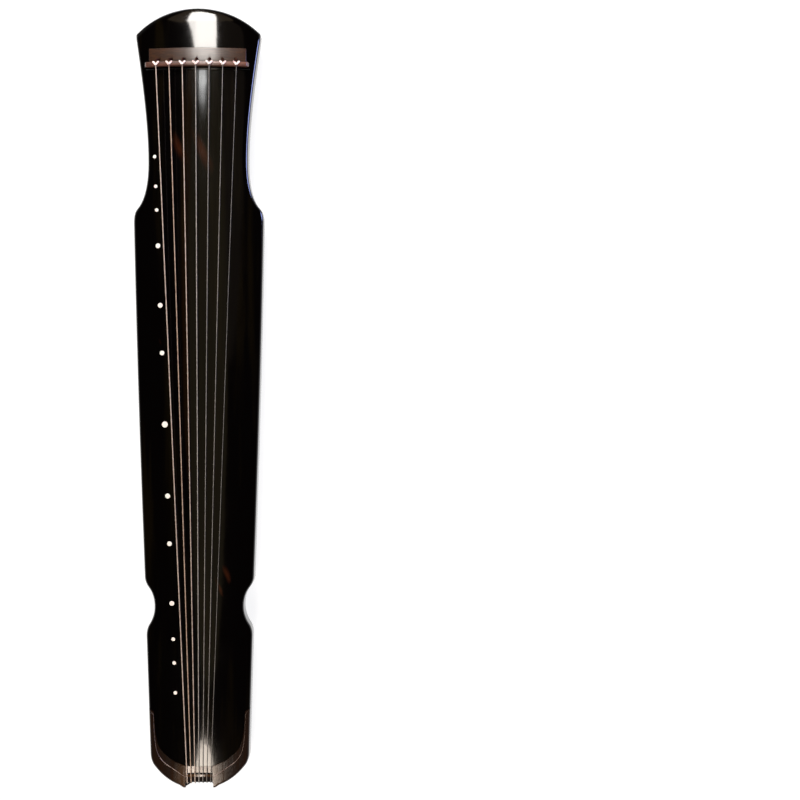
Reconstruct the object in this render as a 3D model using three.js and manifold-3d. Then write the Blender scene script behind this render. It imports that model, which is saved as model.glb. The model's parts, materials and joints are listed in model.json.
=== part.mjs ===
// A guqin, the seven-stringed Chinese long zither, lying strings up on a table.
// Millimetres. +X runs to the head, +Y to the side with the studs, +Z up.
// The origin is on the table, under the middle of the instrument.
import * as THREE from 'three';
import { mergeVertices } from 'three/addons/utils/BufferGeometryUtils.js';
import Module from 'manifold-3d';

// Clearances and cutting
const seam = 0.3;              // gap kept between glued, inlaid or seated pieces
const overrun = 5;             // how far a cutter runs past the face that it opens
const weldTolerance = 0.0001;

// Plan outline of the body, half of it: x along the body, y from the middle line
const headTip = 610;
const tailTip = -610;
const headArcRadius = 141.5;
const headCornerHalf = 96.5;
const headHalf = 98;
const headSideX = 566;
const headCornerX = 571;
const neckX = 369.5;
const neckHalf = 77.9;
const neckPullX = 440;
const shoulderRiseX = 316;
const shoulderTurnX = 296;
const shoulderTurnHalf = 96.5;
const shoulderPullX = 290.2;
const shoulderX = 275;
const shoulderHalf = 101.9;
const flankPullX = 20;
const flankPullHalf = 97;
const waistHeadX = -280;
const waistHeadHalf = 85.6;
const waistHeadPullX = -289.5;
const waistInX = -298.6;
const waistInHalf = 78.1;
const waistInPullX = -310.5;
const waistX = -327;
const waistHalf = 69.7;
const waistOutPullX = -341;
const waistOutX = -353.5;
const waistOutHalf = 77.3;
const waistTailPullX = -361.5;
const waistTailX = -373;
const waistTailHalf = 83;
const tailSideX = -556;
const tailSideHalf = 77.3;
const tailCornerPullX = -571;
const tailCornerX = -579.5;
const tailCornerHalf = 68.5;
const tailSweepPullX = -598;
const tailSweepPullHalf = 53;
const tailSweepX = -606;
const tailSweepHalf = 31;
const tailTipHalf = 25;
const headStartAngle = THREE.MathUtils.degToRad(3);

// Heights
const feetHeight = 32;         // table to the underside of the back board
const backThickness = 12;
const crownHeight = 81;        // top of the arch above the table, half way along
const crownHeadTip = 70;
const crownHeadX = 552;
const crownHead = 78;
const crownNeckX = 330;
const crownNeck = 80.4;
const crownTailX = -430;
const crownTail = 79.4;
const crownTailTip = 76.5;
const archRadius = 300;        // the top is a shallow arch across the body
const edgeRound = 5;
const lowerEdgeRound = 3;

// Inside the soundboard
const sideWall = 14;
const topWall = 8;
const chamberHeadX = 455;
const chamberTailX = -505;
const padThickness = 5;        // raised pads under the top, over the sound holes
const padHalf = 24;
const padMargin = 18;

// Sound holes in the back board
const longHoleHeadX = 203;
const longHoleTailX = -13;
const shortHoleHeadX = -357;
const shortHoleTailX = -473;
const soundHoleWidth = 30;
const soundHoleCorner = 11.5;

// Sound posts
const roundPostX = 262;
const roundPostDiameter = 15;
const squarePostX = -98;
const squarePostWidth = 14;

// Peg pool, pegs and silk cords
const stringCount = 7;
const pegsFromTip = 81.5;       // head end to the line of the pegs
const pegX = headTip - pegsFromTip;
const poolLength = 143;
const poolEndRoom = 11.5;     // from the middle of an end peg to the pool's end
const poolWidth = 30;
const poolCorner = 9;
const plateThickness = 4;
const silkDiameter = 3.4;
const silkClearance = 0.5;
const pegLength = 30;
const pegCollarRadius = 5.6;
const pegCollarHeight = 1.6;
const pegNeckRadius = 3.6;
const pegGripRadius = 6.2;
const pegEndRadius = 5.1;
const pegEndChamfer = 1;
const silkTurns = 1.5;
const silkTurnGap = 0.5;

// Head underside
const scoopRadius = 90;
const scoopDepth = 5.5;
const scoopX = 578;
const guardX = 566;
const guardY = 82.5;
const guardLength = 24;
const guardWidth = 13;
const guardFootShare = 0.72;
const guardRoundPowerShare = 0.6;

// Goose feet
const footX = -274;
const footY = 56;
const footNeckRadius = 6;
const footNeckHeight = 17;
const footBallRadius = 9.5;
const footFlatRadius = 6.6;
const footRingDepth = 1;
const footStemRadius = 4.5;
const footStemLength = 9;

// Bridge and the strip in front of it
const bridgeFromPegs = 9.5;
const bridgeX = pegX - bridgeFromPegs;
const bridgeBase = 10;
const bridgeTop = 7;
const bridgeLength = 162;
const bridgeHeight = 18;
const bridgeRound = 1.5;
const bridgeArchRadius = 330;
const bridgeEndDrop = 7;
const stripWidth = 22;
const stripLength = 152;
const stripThickness = 2.4;

// Studs that mark the stopped harmonics
const studThickness = 1.6;
const studProud = 0.1;
const studStringGap = 10;      // first stud outside the first string
const studStringGapTail = 13.4;
const studDiameters = [6, 6, 6, 8, 8.2, 7.8, 10, 8.4, 8, 8, 6.2, 6, 6];
const studShares = [1 / 8, 1 / 6, 1 / 5, 1 / 4, 1 / 3, 2 / 5, 1 / 2,
  3 / 5, 2 / 3, 3 / 4, 4 / 5, 5 / 6, 7 / 8];

// Strings
const stringSpacingBridge = 20.9;
const stringSpacingNut = 6.1;
const stringDiameters = [1.6, 1.5, 1.4, 1.3, 1.2, 1.1, 1];
const stringGap = 0.4;
const footTurns = 1.25;
const farStringCount = 4;      // these end on the foot at the stud side
const bundleY = 10.3;
const bundleSpacing = 1.95;
const knotLength = 9;
const knotWidth = 11.5;
const knotThickness = 3;

// Tail end
const nutX = -601;             // end face of the nut and of the saddle below
const nutWidth = 41.4;
const nutLength = 25;
const nutRidge = 8;
const nutRise = 2.6;
const nutRound = 3.5;
const nutSeat = 61;
const saddleWidth = 29;
const saddleLength = 11;
const saddleDrop = 5;
const notchHalfTop = 21.9;
const notchHalfBottom = 15;
const cornerStartX = -487;
const cornerStepY = 71.5;
const cornerStepX = -492;
const cornerMidX = -540;
const cornerMidY = 70;
const cornerInX = -551;
const cornerInY = 61;
const cornerTurnX = -559;
const cornerTurnY = 54.5;
const cornerEndX = -568.5;
const cornerEndY = 40;
const cornerRise = 0.8;
const bandMidX = -534;
const bandMidY = 71.2;
const bandInX = -552;
const bandInY = 67;
const bandTurnX = -568;
const bandTurnY = 62.5;
const bandEndX = -577;
const bandEndY = 46;
const bandNutX = -593.5;
const tailPlateHeadX = -564;
const tailPlateTailX = -605;
const tailPlateInner = 15;
const tailPlateRim = 9;
const tailPlateThickness = 2.6;

// Counts
const outlineSteps = { arc: 8, corner: 2, headSide: 5, neck: 4, shoulder: 3, flank: 8,
  waist: 3, tailSide: 4, tailCorner: 3, tailSweep: 4 };
const archSteps = 8;
const edgeSteps = 2;
const studSides = 12;
const holeSides = 8;
const cordSides = 8;
const turnSides = 5;
const stringSides = 6;
const turnSteps = 12;
const pegSides = 12;
const latheSides = 16;

const lacquer = { color: 0x0d0a0a, roughness: 0.15, metalness: 0 };
const hardwood = { color: 0x4a2a1c, roughness: 0.4, metalness: 0 };
const rosewood = { color: 0x6b4330, roughness: 0.4, metalness: 0 };
const paleWood = { color: 0xd9b06a, roughness: 0.7, metalness: 0 };
const ebony = { color: 0x0a0908, roughness: 0.2, metalness: 0 };
const silk = { color: 0xc8401e, roughness: 0.6, metalness: 0 };
const shell = { color: 0xeeeae2, roughness: 0.25, metalness: 0 };
const wrapped = { color: 0xd8c8b4, roughness: 0.45, metalness: 0.1 };

const backTop = feetHeight + backThickness;
const boardBottom = backTop + seam;

const wasm = await Module();
wasm.setup();

const guqin = new THREE.Group();
guqin.name = 'guqin';

// Turns a closed geometry into a solid that can be cut and joined.
function solidOf(geometry) {
  const bare = new THREE.BufferGeometry();
  bare.setAttribute('position', geometry.getAttribute('position').clone());
  if (geometry.index) bare.setIndex(geometry.index.clone());
  const welded = mergeVertices(bare, weldTolerance);
  const index = welded.index.array;
  const faces = [];
  for (let i = 0; i < index.length; i += 3) {
    const [a, b, c] = [index[i], index[i + 1], index[i + 2]];
    if (a !== b && b !== c && c !== a) faces.push(a, b, c);
  }
  const vertProperties = Float32Array.from(welded.getAttribute('position').array);
  const triVerts = Uint32Array.from(faces);
  return new wasm.Manifold(new wasm.Mesh({ numProp: 3, vertProperties, triVerts }));
}

// Turns a solid back into a geometry.
function geometryOf(solid) {
  const { vertProperties, triVerts } = solid.getMesh();
  const geometry = new THREE.BufferGeometry();
  geometry.setAttribute('position', new THREE.BufferAttribute(vertProperties, 3));
  geometry.setIndex(new THREE.BufferAttribute(triVerts, 1));
  geometry.computeVertexNormals();
  return geometry;
}

// Names a piece, gives it its finish and hangs it in the instrument.
function addPiece(name, shape, finish, parent = guqin) {
  const geometry = shape.isBufferGeometry ? shape : geometryOf(shape);
  const piece = new THREE.Mesh(geometry, new THREE.MeshStandardMaterial(finish));
  piece.name = name;
  parent.add(piece);
  return piece;
}

// Skins a row of equal, convex rings into one closed geometry.
function loft(rings) {
  const count = rings[0].length;
  const points = rings.flat();
  const faces = [];
  for (let r = 0; r < rings.length - 1; r += 1) {
    for (let i = 0; i < count; i += 1) {
      const a = r * count + i;
      const b = r * count + (i + 1) % count;
      faces.push(a, b, b + count, a, b + count, a + count);
    }
  }
  const last = (rings.length - 1) * count;
  for (let i = 1; i < count - 1; i += 1) {
    faces.push(0, i + 1, i, last, last + i, last + i + 1);
  }
  const geometry = new THREE.BufferGeometry().setFromPoints(points);
  geometry.setIndex(faces);
  if (volumeOf(points, faces) < 0) {
    for (let i = 0; i < faces.length; i += 3) {
      [faces[i + 1], faces[i + 2]] = [faces[i + 2], faces[i + 1]];
    }
    geometry.setIndex(faces);
  }
  geometry.computeVertexNormals();
  return geometry;
}

function volumeOf(points, faces) {
  let volume = 0;
  const across = new THREE.Vector3();
  for (let i = 0; i < faces.length; i += 3) {
    across.crossVectors(points[faces[i + 1]], points[faces[i + 2]]);
    volume += points[faces[i]].dot(across);
  }
  return volume;
}

// A plan shape made into a solid between two heights.
function prism(shape, bottom, top, curveSegments = 6) {
  const options = { depth: top - bottom, bevelEnabled: false, curveSegments };
  const geometry = new THREE.ExtrudeGeometry(shape, options);
  geometry.translate(0, 0, bottom);
  return solidOf(geometry);
}

// A profile drawn in x and z, run across the body from -half to +half in y.
function crossBar(shape, half, curveSegments = 4) {
  const options = { depth: 2 * half, bevelEnabled: false, curveSegments };
  const geometry = new THREE.ExtrudeGeometry(shape, options);
  geometry.rotateX(Math.PI / 2);
  geometry.translate(0, half, 0);
  return geometry;
}

function box(x0, x1, y0, y1, z0, z1) {
  const geometry = new THREE.BoxGeometry(Math.abs(x1 - x0), Math.abs(y1 - y0), Math.abs(z1 - z0));
  geometry.translate((x0 + x1) / 2, (y0 + y1) / 2, (z0 + z1) / 2);
  return solidOf(geometry);
}

function uprightRod(x, y, z0, z1, radius, sides = holeSides) {
  const geometry = new THREE.CylinderGeometry(radius, radius, z1 - z0, sides);
  geometry.rotateX(Math.PI / 2);
  geometry.translate(x, y, (z0 + z1) / 2);
  return solidOf(geometry);
}

// A slot with round corners in plan, along x and y.
function slotShape(x0, x1, y0, y1, corner) {
  const shape = new THREE.Shape();
  shape.moveTo(x0 + corner, y0);
  shape.lineTo(x1 - corner, y0);
  shape.absarc(x1 - corner, y0 + corner, corner, -Math.PI / 2, 0, false);
  shape.lineTo(x1, y1 - corner);
  shape.absarc(x1 - corner, y1 - corner, corner, 0, Math.PI / 2, false);
  shape.lineTo(x0 + corner, y1);
  shape.absarc(x0 + corner, y1 - corner, corner, Math.PI / 2, Math.PI, false);
  shape.lineTo(x0, y0 + corner);
  shape.absarc(x0 + corner, y0 + corner, corner, Math.PI, 1.5 * Math.PI, false);
  return shape;
}

// A route for a cord: straight from point to point, one step per point.
class Route extends THREE.Curve {
  constructor(points) {
    super();
    this.points = points;
  }

  getUtoTmapping(u) {
    return u;
  }

  getPoint(t, target = new THREE.Vector3()) {
    const place = t * (this.points.length - 1);
    const index = Math.min(Math.floor(place), this.points.length - 2);
    return target.lerpVectors(this.points[index], this.points[index + 1], place - index);
  }

  getTangent(t, target = new THREE.Vector3()) {
    const last = this.points.length - 1;
    const index = Math.round(t * last);
    const here = this.points[index];
    const before = this.points[Math.max(index - 1, 0)];
    const after = this.points[Math.min(index + 1, last)];
    const arriving = here.clone().sub(before).normalize();
    const leaving = after.clone().sub(here).normalize();
    return target.addVectors(arriving, leaving).normalize();
  }
}

// A round cord along a list of points.
function cordAlong(points, diameter, sides) {
  const section = new THREE.Shape();
  for (let i = 0; i < sides; i += 1) {
    const angle = (2 * Math.PI * i) / sides;
    const x = Math.cos(angle) * diameter / 2;
    const y = Math.sin(angle) * diameter / 2;
    if (i === 0) section.moveTo(x, y);
    else section.lineTo(x, y);
  }
  section.closePath();
  return new THREE.ExtrudeGeometry(section, {
    steps: points.length - 1, bevelEnabled: false, extrudePath: new Route(points),
  });
}

// Turns of cord round an upright post, going down from the first angle.
function turnsRound(x, y, z, radius, firstAngle, turns, pitch, way) {
  const steps = Math.round(turns * turnSteps);
  const points = [];
  for (let i = 0; i <= steps; i += 1) {
    const angle = firstAngle + (way * 2 * Math.PI * i) / turnSteps;
    const drop = (pitch * i) / turnSteps;
    points.push(new THREE.Vector3(
      x + radius * Math.cos(angle), y + radius * Math.sin(angle), z - drop));
  }
  return points;
}

// The least gap that a wound cord keeps to itself, over parts of its run more
// than half a turn apart.
function leastGap(points, diameter) {
  let least = Infinity;
  for (let i = 0; i < points.length; i += 1) {
    for (let j = i + Math.ceil(turnSteps / 2); j < points.length; j += 1) {
      least = Math.min(least, points[i].distanceTo(points[j]) - diameter);
    }
  }
  return least;
}

// Plan outline of half the body, from the head's front edge to a tail corner.
function bodyOutline() {
  const path = new THREE.Path();
  const arcCentreX = headTip - headArcRadius * Math.cos(headStartAngle);
  const cornerAngle = Math.asin(headCornerHalf / headArcRadius);
  path.absarc(arcCentreX, 0, headArcRadius, headStartAngle, cornerAngle, false);
  path.quadraticCurveTo(headCornerX, headHalf, headSideX, headHalf);
  path.quadraticCurveTo(neckPullX, neckHalf, neckX, neckHalf);
  path.quadraticCurveTo(shoulderRiseX, neckHalf, shoulderTurnX, shoulderTurnHalf);
  path.quadraticCurveTo(shoulderPullX, shoulderHalf, shoulderX, shoulderHalf);
  path.quadraticCurveTo(flankPullX, flankPullHalf, waistHeadX, waistHeadHalf);
  path.quadraticCurveTo(waistHeadPullX, waistHeadHalf, waistInX, waistInHalf);
  path.quadraticCurveTo(waistInPullX, waistHalf, waistX, waistHalf);
  path.quadraticCurveTo(waistOutPullX, waistHalf, waistOutX, waistOutHalf);
  path.quadraticCurveTo(waistTailPullX, waistTailHalf, waistTailX, waistTailHalf);
  path.lineTo(tailSideX, tailSideHalf);
  path.quadraticCurveTo(tailCornerPullX, tailSideHalf, tailCornerX, tailCornerHalf);
  path.quadraticCurveTo(tailSweepPullX, tailSweepPullHalf, tailSweepX, tailSweepHalf);
  path.lineTo(tailTip, tailTipHalf);
  const s = outlineSteps;
  const steps = [s.arc, s.corner, s.headSide, s.neck, s.shoulder, s.flank,
    s.waist, s.waist, s.waist, s.waist, s.tailSide, s.tailCorner, s.tailSweep, 1];
  const points = path.curves.flatMap((curve, i) => curve.getPoints(steps[i]).slice(0, -1));
  points.push(new THREE.Vector2(tailTip, tailTipHalf));
  return points;
}

const outline = bodyOutline();

// Straight between the outline's points, so that it meets the lofted sides.
function halfWidthAt(x) {
  const after = outline.findIndex((point) => point.x <= x);
  if (after <= 0) return outline[after < 0 ? outline.length - 1 : 0].y;
  const [a, b] = [outline[after - 1], outline[after]];
  return a.y + ((x - a.x) / (b.x - a.x)) * (b.y - a.y);
}

const crownCurve = new THREE.SplineCurve([
  new THREE.Vector2(headTip, crownHeadTip),
  new THREE.Vector2(crownHeadX, crownHead),
  new THREE.Vector2(crownNeckX, crownNeck),
  new THREE.Vector2(0, crownHeight),
  new THREE.Vector2(crownTailX, crownTail),
  new THREE.Vector2(tailTip, crownTailTip),
]);
const crownLine = crownCurve.getPoints(20 * crownCurve.points.length);

// Height of the arch's top line along the body.
function crownAt(x) {
  const after = Math.max(crownLine.findIndex((point) => point.x <= x), 1);
  const [a, b] = [crownLine[after - 1], crownLine[after]];
  return a.y + ((x - a.x) / (b.x - a.x)) * (b.y - a.y);
}

// Height of the top surface anywhere in plan.
function topAt(x, y) {
  return crownAt(x) - (archRadius - Math.sqrt(archRadius ** 2 - y ** 2));
}

// One cross-section of the body between a flat bottom and the arched top.
function bodyRing(x, half, bottom, lift, round) {
  const ring = [];
  const flat = half - round;
  for (let i = 0; i <= archSteps; i += 1) {
    const y = flat * (1 - (2 * i) / archSteps);
    ring.push(new THREE.Vector3(x, y, topAt(x, y) + lift));
  }
  const edge = [];
  for (let i = 1; i <= edgeSteps; i += 1) {
    const angle = (Math.PI / 2) * (i / edgeSteps);
    const y = flat + round * Math.sin(angle);
    const z = topAt(x, flat) + lift - round * (1 - Math.cos(angle));
    edge.push(new THREE.Vector3(x, y, z));
  }
  for (const point of edge) ring.push(new THREE.Vector3(x, -point.y, point.z));
  ring.push(new THREE.Vector3(x, -half, bottom), new THREE.Vector3(x, half, bottom));
  for (const point of edge.toReversed()) ring.push(point);
  return ring;
}

// The body's outer form above the parting line, with its top lifted or not.
function bodyForm(bottom, lift = 0) {
  return solidOf(loft(outline.map(({ x, y }) => bodyRing(x, y, bottom, lift, edgeRound))));
}

// Everything inside the walls of the soundboard.
function chamberForm() {
  const inside = outline.map(({ x }) => x)
    .filter((x) => x < chamberHeadX - overrun && x > chamberTailX + overrun);
  const rings = [chamberHeadX, ...inside, chamberTailX].map((x) => {
    const half = halfWidthAt(x) - sideWall;
    return bodyRing(x, half, backTop - overrun, -topWall, edgeRound);
  });
  const padZ = crownHeight - topWall - padThickness;
  let chamber = solidOf(loft(rings));
  for (const [x0, x1] of [[longHoleTailX, longHoleHeadX], [shortHoleTailX, shortHoleHeadX]]) {
    chamber = chamber.subtract(
      box(x0 - padMargin, x1 + padMargin, -padHalf, padHalf, padZ, crownHeight));
  }
  return chamber;
}

const indices = Array.from({ length: stringCount }, (_, i) => i);
const fromMiddle = (i) => (stringCount - 1) / 2 - i;
const pegSpacing = (poolLength - 2 * poolEndRoom) / (stringCount - 1);
const pegY = indices.map((i) => fromMiddle(i) * pegSpacing);
const bridgeY = indices.map((i) => fromMiddle(i) * stringSpacingBridge);
const nutY = indices.map((i) => fromMiddle(i) * stringSpacingNut);
const silkBore = silkDiameter / 2 + silkClearance;

// Studs: places along the first string, at its simple fractions
const stringStartX = bridgeX - bridgeTop / 2 + bridgeRound;
const stringLength = stringStartX - nutX;
const studs = studShares.map((share, i) => {
  const x = stringStartX - share * stringLength;
  const stringY = bridgeY[0] + share * (nutY[0] - bridgeY[0]);
  const gap = studStringGap + share * (studStringGapTail - studStringGap);
  const radius = studDiameters[i] / 2;
  return { x, y: stringY + gap, radius };
});

// A disc lying in the arched surface, with its face raised by proud.
function studPlace({ x, y }, proud, thickness) {
  const tilt = Math.asin(y / archRadius);
  const normal = new THREE.Vector3(0, Math.sin(tilt), Math.cos(tilt));
  const place = new THREE.Vector3(x, y, topAt(x, y));
  place.addScaledVector(normal, proud - thickness / 2);
  return { place, tilt };
}

function discGeometry(radius, thickness) {
  return new THREE.CylinderGeometry(radius, radius, thickness, studSides).rotateX(Math.PI / 2);
}

// Plan of the hardwood corner at the tail, on the stud side; grow is a clearance
function cornerShape(grow) {
  const shape = new THREE.Shape();
  shape.moveTo(cornerStartX + grow, halfWidthAt(cornerStartX) + overrun);
  shape.lineTo(cornerStartX + grow, halfWidthAt(cornerStartX) - grow);
  shape.lineTo(cornerStepX + grow, cornerStepY - grow);
  shape.quadraticCurveTo(cornerMidX + grow, cornerMidY - grow, cornerInX + grow, cornerInY - grow);
  shape.quadraticCurveTo(cornerTurnX + grow, cornerTurnY - grow,
    cornerEndX + grow, cornerEndY - grow);
  shape.lineTo(nutX + nutLength + grow, nutWidth / 2 + seam - grow);
  shape.lineTo(tailTip - overrun, nutWidth / 2 + seam - grow);
  shape.lineTo(tailTip - overrun, halfWidthAt(cornerStartX) + overrun);
  return shape;
}

// The raised outer band of that corner.
function bandShape() {
  const shape = new THREE.Shape();
  shape.moveTo(cornerStartX - overrun, halfWidthAt(cornerStartX) + overrun);
  shape.lineTo(cornerStepX - overrun, cornerStepY + seam);
  shape.quadraticCurveTo(bandMidX, bandMidY + seam, bandInX, bandInY);
  shape.quadraticCurveTo(bandTurnX, bandTurnY, bandEndX, bandEndY);
  shape.lineTo(bandNutX, nutWidth / 2 + seam);
  shape.lineTo(tailTip - overrun, nutWidth / 2 + seam);
  shape.lineTo(tailTip - overrun, halfWidthAt(cornerStartX) + overrun);
  return shape;
}

const mirrorY = new THREE.Matrix4().makeScale(1, -1, 1);
const mirrored = (solid) => solid.transform(mirrorY.elements);

// The notch that the strings run down in, wider at the top than at the bottom
function notchForm() {
  const shape = new THREE.Shape();
  shape.moveTo(-notchHalfBottom, feetHeight - overrun);
  shape.lineTo(notchHalfBottom, feetHeight - overrun);
  shape.lineTo(notchHalfBottom, feetHeight);
  shape.lineTo(notchHalfTop, nutSeat);
  shape.lineTo(notchHalfTop, crownHeight + overrun);
  shape.lineTo(-notchHalfTop, crownHeight + overrun);
  shape.lineTo(-notchHalfTop, nutSeat);
  shape.lineTo(-notchHalfBottom, feetHeight);
  const length = nutX - tailTip + overrun;
  const geometry = new THREE.ExtrudeGeometry(shape, { depth: length, bevelEnabled: false });
  geometry.rotateX(Math.PI / 2);
  geometry.rotateZ(Math.PI / 2);
  geometry.translate(nutX - length, 0, 0);
  return solidOf(geometry);
}

function makeSoundboard() {
  let board = bodyForm(boardBottom).subtract(chamberForm());
  for (const y of pegY) {
    board = board.subtract(
      uprightRod(pegX, y, boardBottom - overrun, crownHeight + overrun, silkBore));
  }
  for (const stud of studs) {
    const depth = studThickness + seam;
    const { place, tilt } = studPlace(stud, overrun, depth + overrun);
    const pocket = discGeometry(stud.radius + seam, depth + overrun);
    pocket.rotateX(-tilt).translate(place.x, place.y, place.z);
    board = board.subtract(solidOf(pocket));
  }
  const corner = prism(cornerShape(seam), nutSeat, crownHeight + overrun);
  board = board.subtract(corner).subtract(mirrored(corner)).subtract(notchForm());
  const nutHalf = nutWidth / 2 + seam;
  board = board.subtract(box(tailTip - overrun, nutX + nutLength + seam,
    -nutHalf, nutHalf, nutSeat, crownHeight + overrun));
  addPiece('soundboard', board, lacquer);
}

function makeBackBoard() {
  const rings = outline.map(({ x, y }) => [
    new THREE.Vector3(x, y, backTop),
    new THREE.Vector3(x, -y, backTop),
    new THREE.Vector3(x, -y, feetHeight + lowerEdgeRound),
    new THREE.Vector3(x, -y + lowerEdgeRound, feetHeight),
    new THREE.Vector3(x, y - lowerEdgeRound, feetHeight),
    new THREE.Vector3(x, y, feetHeight + lowerEdgeRound),
  ]);
  let board = solidOf(loft(rings));
  const half = soundHoleWidth / 2;
  const low = feetHeight - overrun;
  const high = backTop + overrun;
  const slots = [
    slotShape(longHoleTailX, longHoleHeadX, -half, half, soundHoleCorner),
    slotShape(shortHoleTailX, shortHoleHeadX, -half, half, soundHoleCorner),
    slotShape(pegX - poolWidth / 2, pegX + poolWidth / 2,
      -poolLength / 2, poolLength / 2, poolCorner),
  ];
  for (const slot of slots) board = board.subtract(prism(slot, low, high, 3));
  for (const y of [footY, -footY]) {
    const socket = footStemRadius + 2 * seam;
    board = board.subtract(uprightRod(footX, y, low, high, socket, latheSides));
  }
  const scoop = new THREE.CylinderGeometry(scoopRadius, scoopRadius,
    2 * guardY - guardWidth - 2 * lowerEdgeRound, 4 * latheSides);
  scoop.translate(scoopX, 0, feetHeight + scoopDepth - scoopRadius);
  board = board.subtract(solidOf(scoop)).subtract(notchForm());
  const saddleHalf = saddleWidth / 2 + seam;
  board = board.subtract(
    box(tailTip - overrun, nutX + saddleLength + seam, -saddleHalf, saddleHalf, low, high));
  addPiece('back_board', board, lacquer);
}

function makePosts() {
  const clear = topAt(roundPostX, roundPostDiameter / 2) - topWall - seam;
  const height = clear - backTop - seam;
  const round = new THREE.CylinderGeometry(roundPostDiameter / 2, roundPostDiameter / 2,
    height, latheSides).rotateX(Math.PI / 2);
  addPiece('heaven_post', round, paleWood)
    .position.set(roundPostX, 0, backTop + seam + height / 2);
  const clearSquare = topAt(squarePostX, squarePostWidth / 2) - topWall - seam;
  const tall = clearSquare - backTop - seam;
  const square = new THREE.BoxGeometry(squarePostWidth, squarePostWidth, tall);
  addPiece('earth_post', square, paleWood)
    .position.set(squarePostX, 0, backTop + seam + tall / 2);
}

// Height of the bridge's top, which is a flatter arch than the body's
function bridgeTopAt(y) {
  return crownAt(bridgeX) + bridgeHeight
    - (bridgeArchRadius - Math.sqrt(bridgeArchRadius ** 2 - y ** 2));
}

function makeBridge() {
  const half = bridgeLength / 2;
  const shares = [-1, -0.96, -0.8, -0.6, -0.4, -0.2, 0, 0.2, 0.4, 0.6, 0.8, 0.96, 1];
  const [x0, x1] = [bridgeX - bridgeBase / 2, bridgeX + bridgeBase / 2];
  const [x2, x3] = [bridgeX - bridgeTop / 2, bridgeX + bridgeTop / 2];
  const rings = shares.map((share) => {
    const y = share * half;
    const top = bridgeTopAt(y) - (Math.abs(share) === 1 ? bridgeEndDrop : 0);
    return [
      new THREE.Vector3(x0, y, topAt(x0, y) + seam),
      new THREE.Vector3(x1, y, topAt(x1, y) + seam),
      new THREE.Vector3(x3, y, top - bridgeRound),
      new THREE.Vector3(x3 - bridgeRound, y, top),
      new THREE.Vector3(x2 + bridgeRound, y, top),
      new THREE.Vector3(x2, y, top - bridgeRound),
    ];
  });
  addPiece('bridge', loft(rings), rosewood);
}

function makeStrip() {
  const shares = Array.from({ length: archSteps + 1 }, (_, i) => (2 * i) / archSteps - 1);
  const x0 = bridgeX + bridgeBase / 2 + seam;
  const x1 = x0 + stripWidth;
  const rings = shares.map((share) => {
    const y = (share * stripLength) / 2;
    const [z0, z1] = [topAt(x0, y) + seam, topAt(x1, y) + seam];
    return [
      new THREE.Vector3(x0, y, z0),
      new THREE.Vector3(x1, y, z1),
      new THREE.Vector3(x1, y, z1 + stripThickness),
      new THREE.Vector3(x0, y, z0 + stripThickness),
    ];
  });
  let strip = solidOf(loft(rings));
  for (const y of pegY) {
    strip = strip.subtract(uprightRod(pegX, y, boardBottom, crownHeight + overrun, silkBore));
  }
  addPiece('bridge_strip', strip, rosewood);
}

function makeStuds() {
  studs.forEach((stud, i) => {
    const { place, tilt } = studPlace(stud, studProud, studThickness);
    const disc = addPiece(`stud_${i + 1}`, discGeometry(stud.radius, studThickness), shell);
    disc.position.copy(place);
    disc.rotation.x = -tilt;
  });
}

const plateTop = backTop;
const plateBottom = plateTop - plateThickness;
const pegTop = plateBottom - seam;
const pegBottom = pegTop - pegLength;

function makePegPlate() {
  const grow = seam;
  const shape = slotShape(pegX - poolWidth / 2 + grow, pegX + poolWidth / 2 - grow,
    -poolLength / 2 + grow, poolLength / 2 - grow, poolCorner - grow);
  let plate = prism(shape, plateBottom, plateTop, 3);
  for (const y of pegY) {
    plate = plate.subtract(
      uprightRod(pegX, y, plateBottom - overrun, plateTop + overrun, silkBore));
  }
  addPiece('peg_plate', plate, paleWood);
}

// A tuning peg hangs under the plate and turns about its upright axis. Its bore
// takes the silk cord, which is also wound round the neck, goes in through the
// neck's wall at both ends of the turns, and turns with the peg.
function makePegs() {
  const turnRadius = pegNeckRadius + silkDiameter / 2 + seam;
  const pitch = silkDiameter + silkTurnGap;
  const turnTop = -pegCollarHeight - silkTurnGap - silkDiameter / 2;
  const neckBottom = turnTop - silkTurns * pitch - silkDiameter / 2 - silkTurnGap;
  const profile = [
    [silkBore, 0],
    [pegCollarRadius, 0],
    [pegCollarRadius, -pegCollarHeight],
    [pegNeckRadius, -pegCollarHeight],
    [pegNeckRadius, neckBottom],
    [pegGripRadius, neckBottom - pegEndChamfer],
    [pegEndRadius, -pegLength + pegEndChamfer],
    [pegEndRadius - pegEndChamfer, -pegLength],
    [silkBore, -pegLength],
    [silkBore, 0],
  ].map(([r, z]) => new THREE.Vector2(r, z));
  const turned = new THREE.LatheGeometry(profile.toReversed(), pegSides).rotateX(Math.PI / 2);
  const turns = turnsRound(0, 0, turnTop, turnRadius, 0, silkTurns, pitch, 1);
  console.log(`silk turns on a peg keep ${leastGap(turns, silkDiameter).toFixed(2)} mm`);
  const into = (silkBore + pegNeckRadius) / 2 / turnRadius;
  const intoNeck = (point) => point.clone().multiply(new THREE.Vector3(into, into, 1));
  const wound = [intoNeck(turns[0]), ...turns.slice(1, -1), intoNeck(turns.at(-1))];
  const peg = solidOf(turned).add(solidOf(cordAlong(wound, silkDiameter, turnSides)));
  const geometry = geometryOf(peg);
  pegY.forEach((y, i) => {
    addPiece(`peg_${i + 1}`, geometry.clone(), ebony).position.set(pegX, y, pegTop);
  });
}

// The silk cord from the string's knot, down through strip and head, to the peg
const loopFaceX = bridgeX + bridgeBase / 2 + seam + silkDiameter / 2;
const loopBend = 3;

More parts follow.
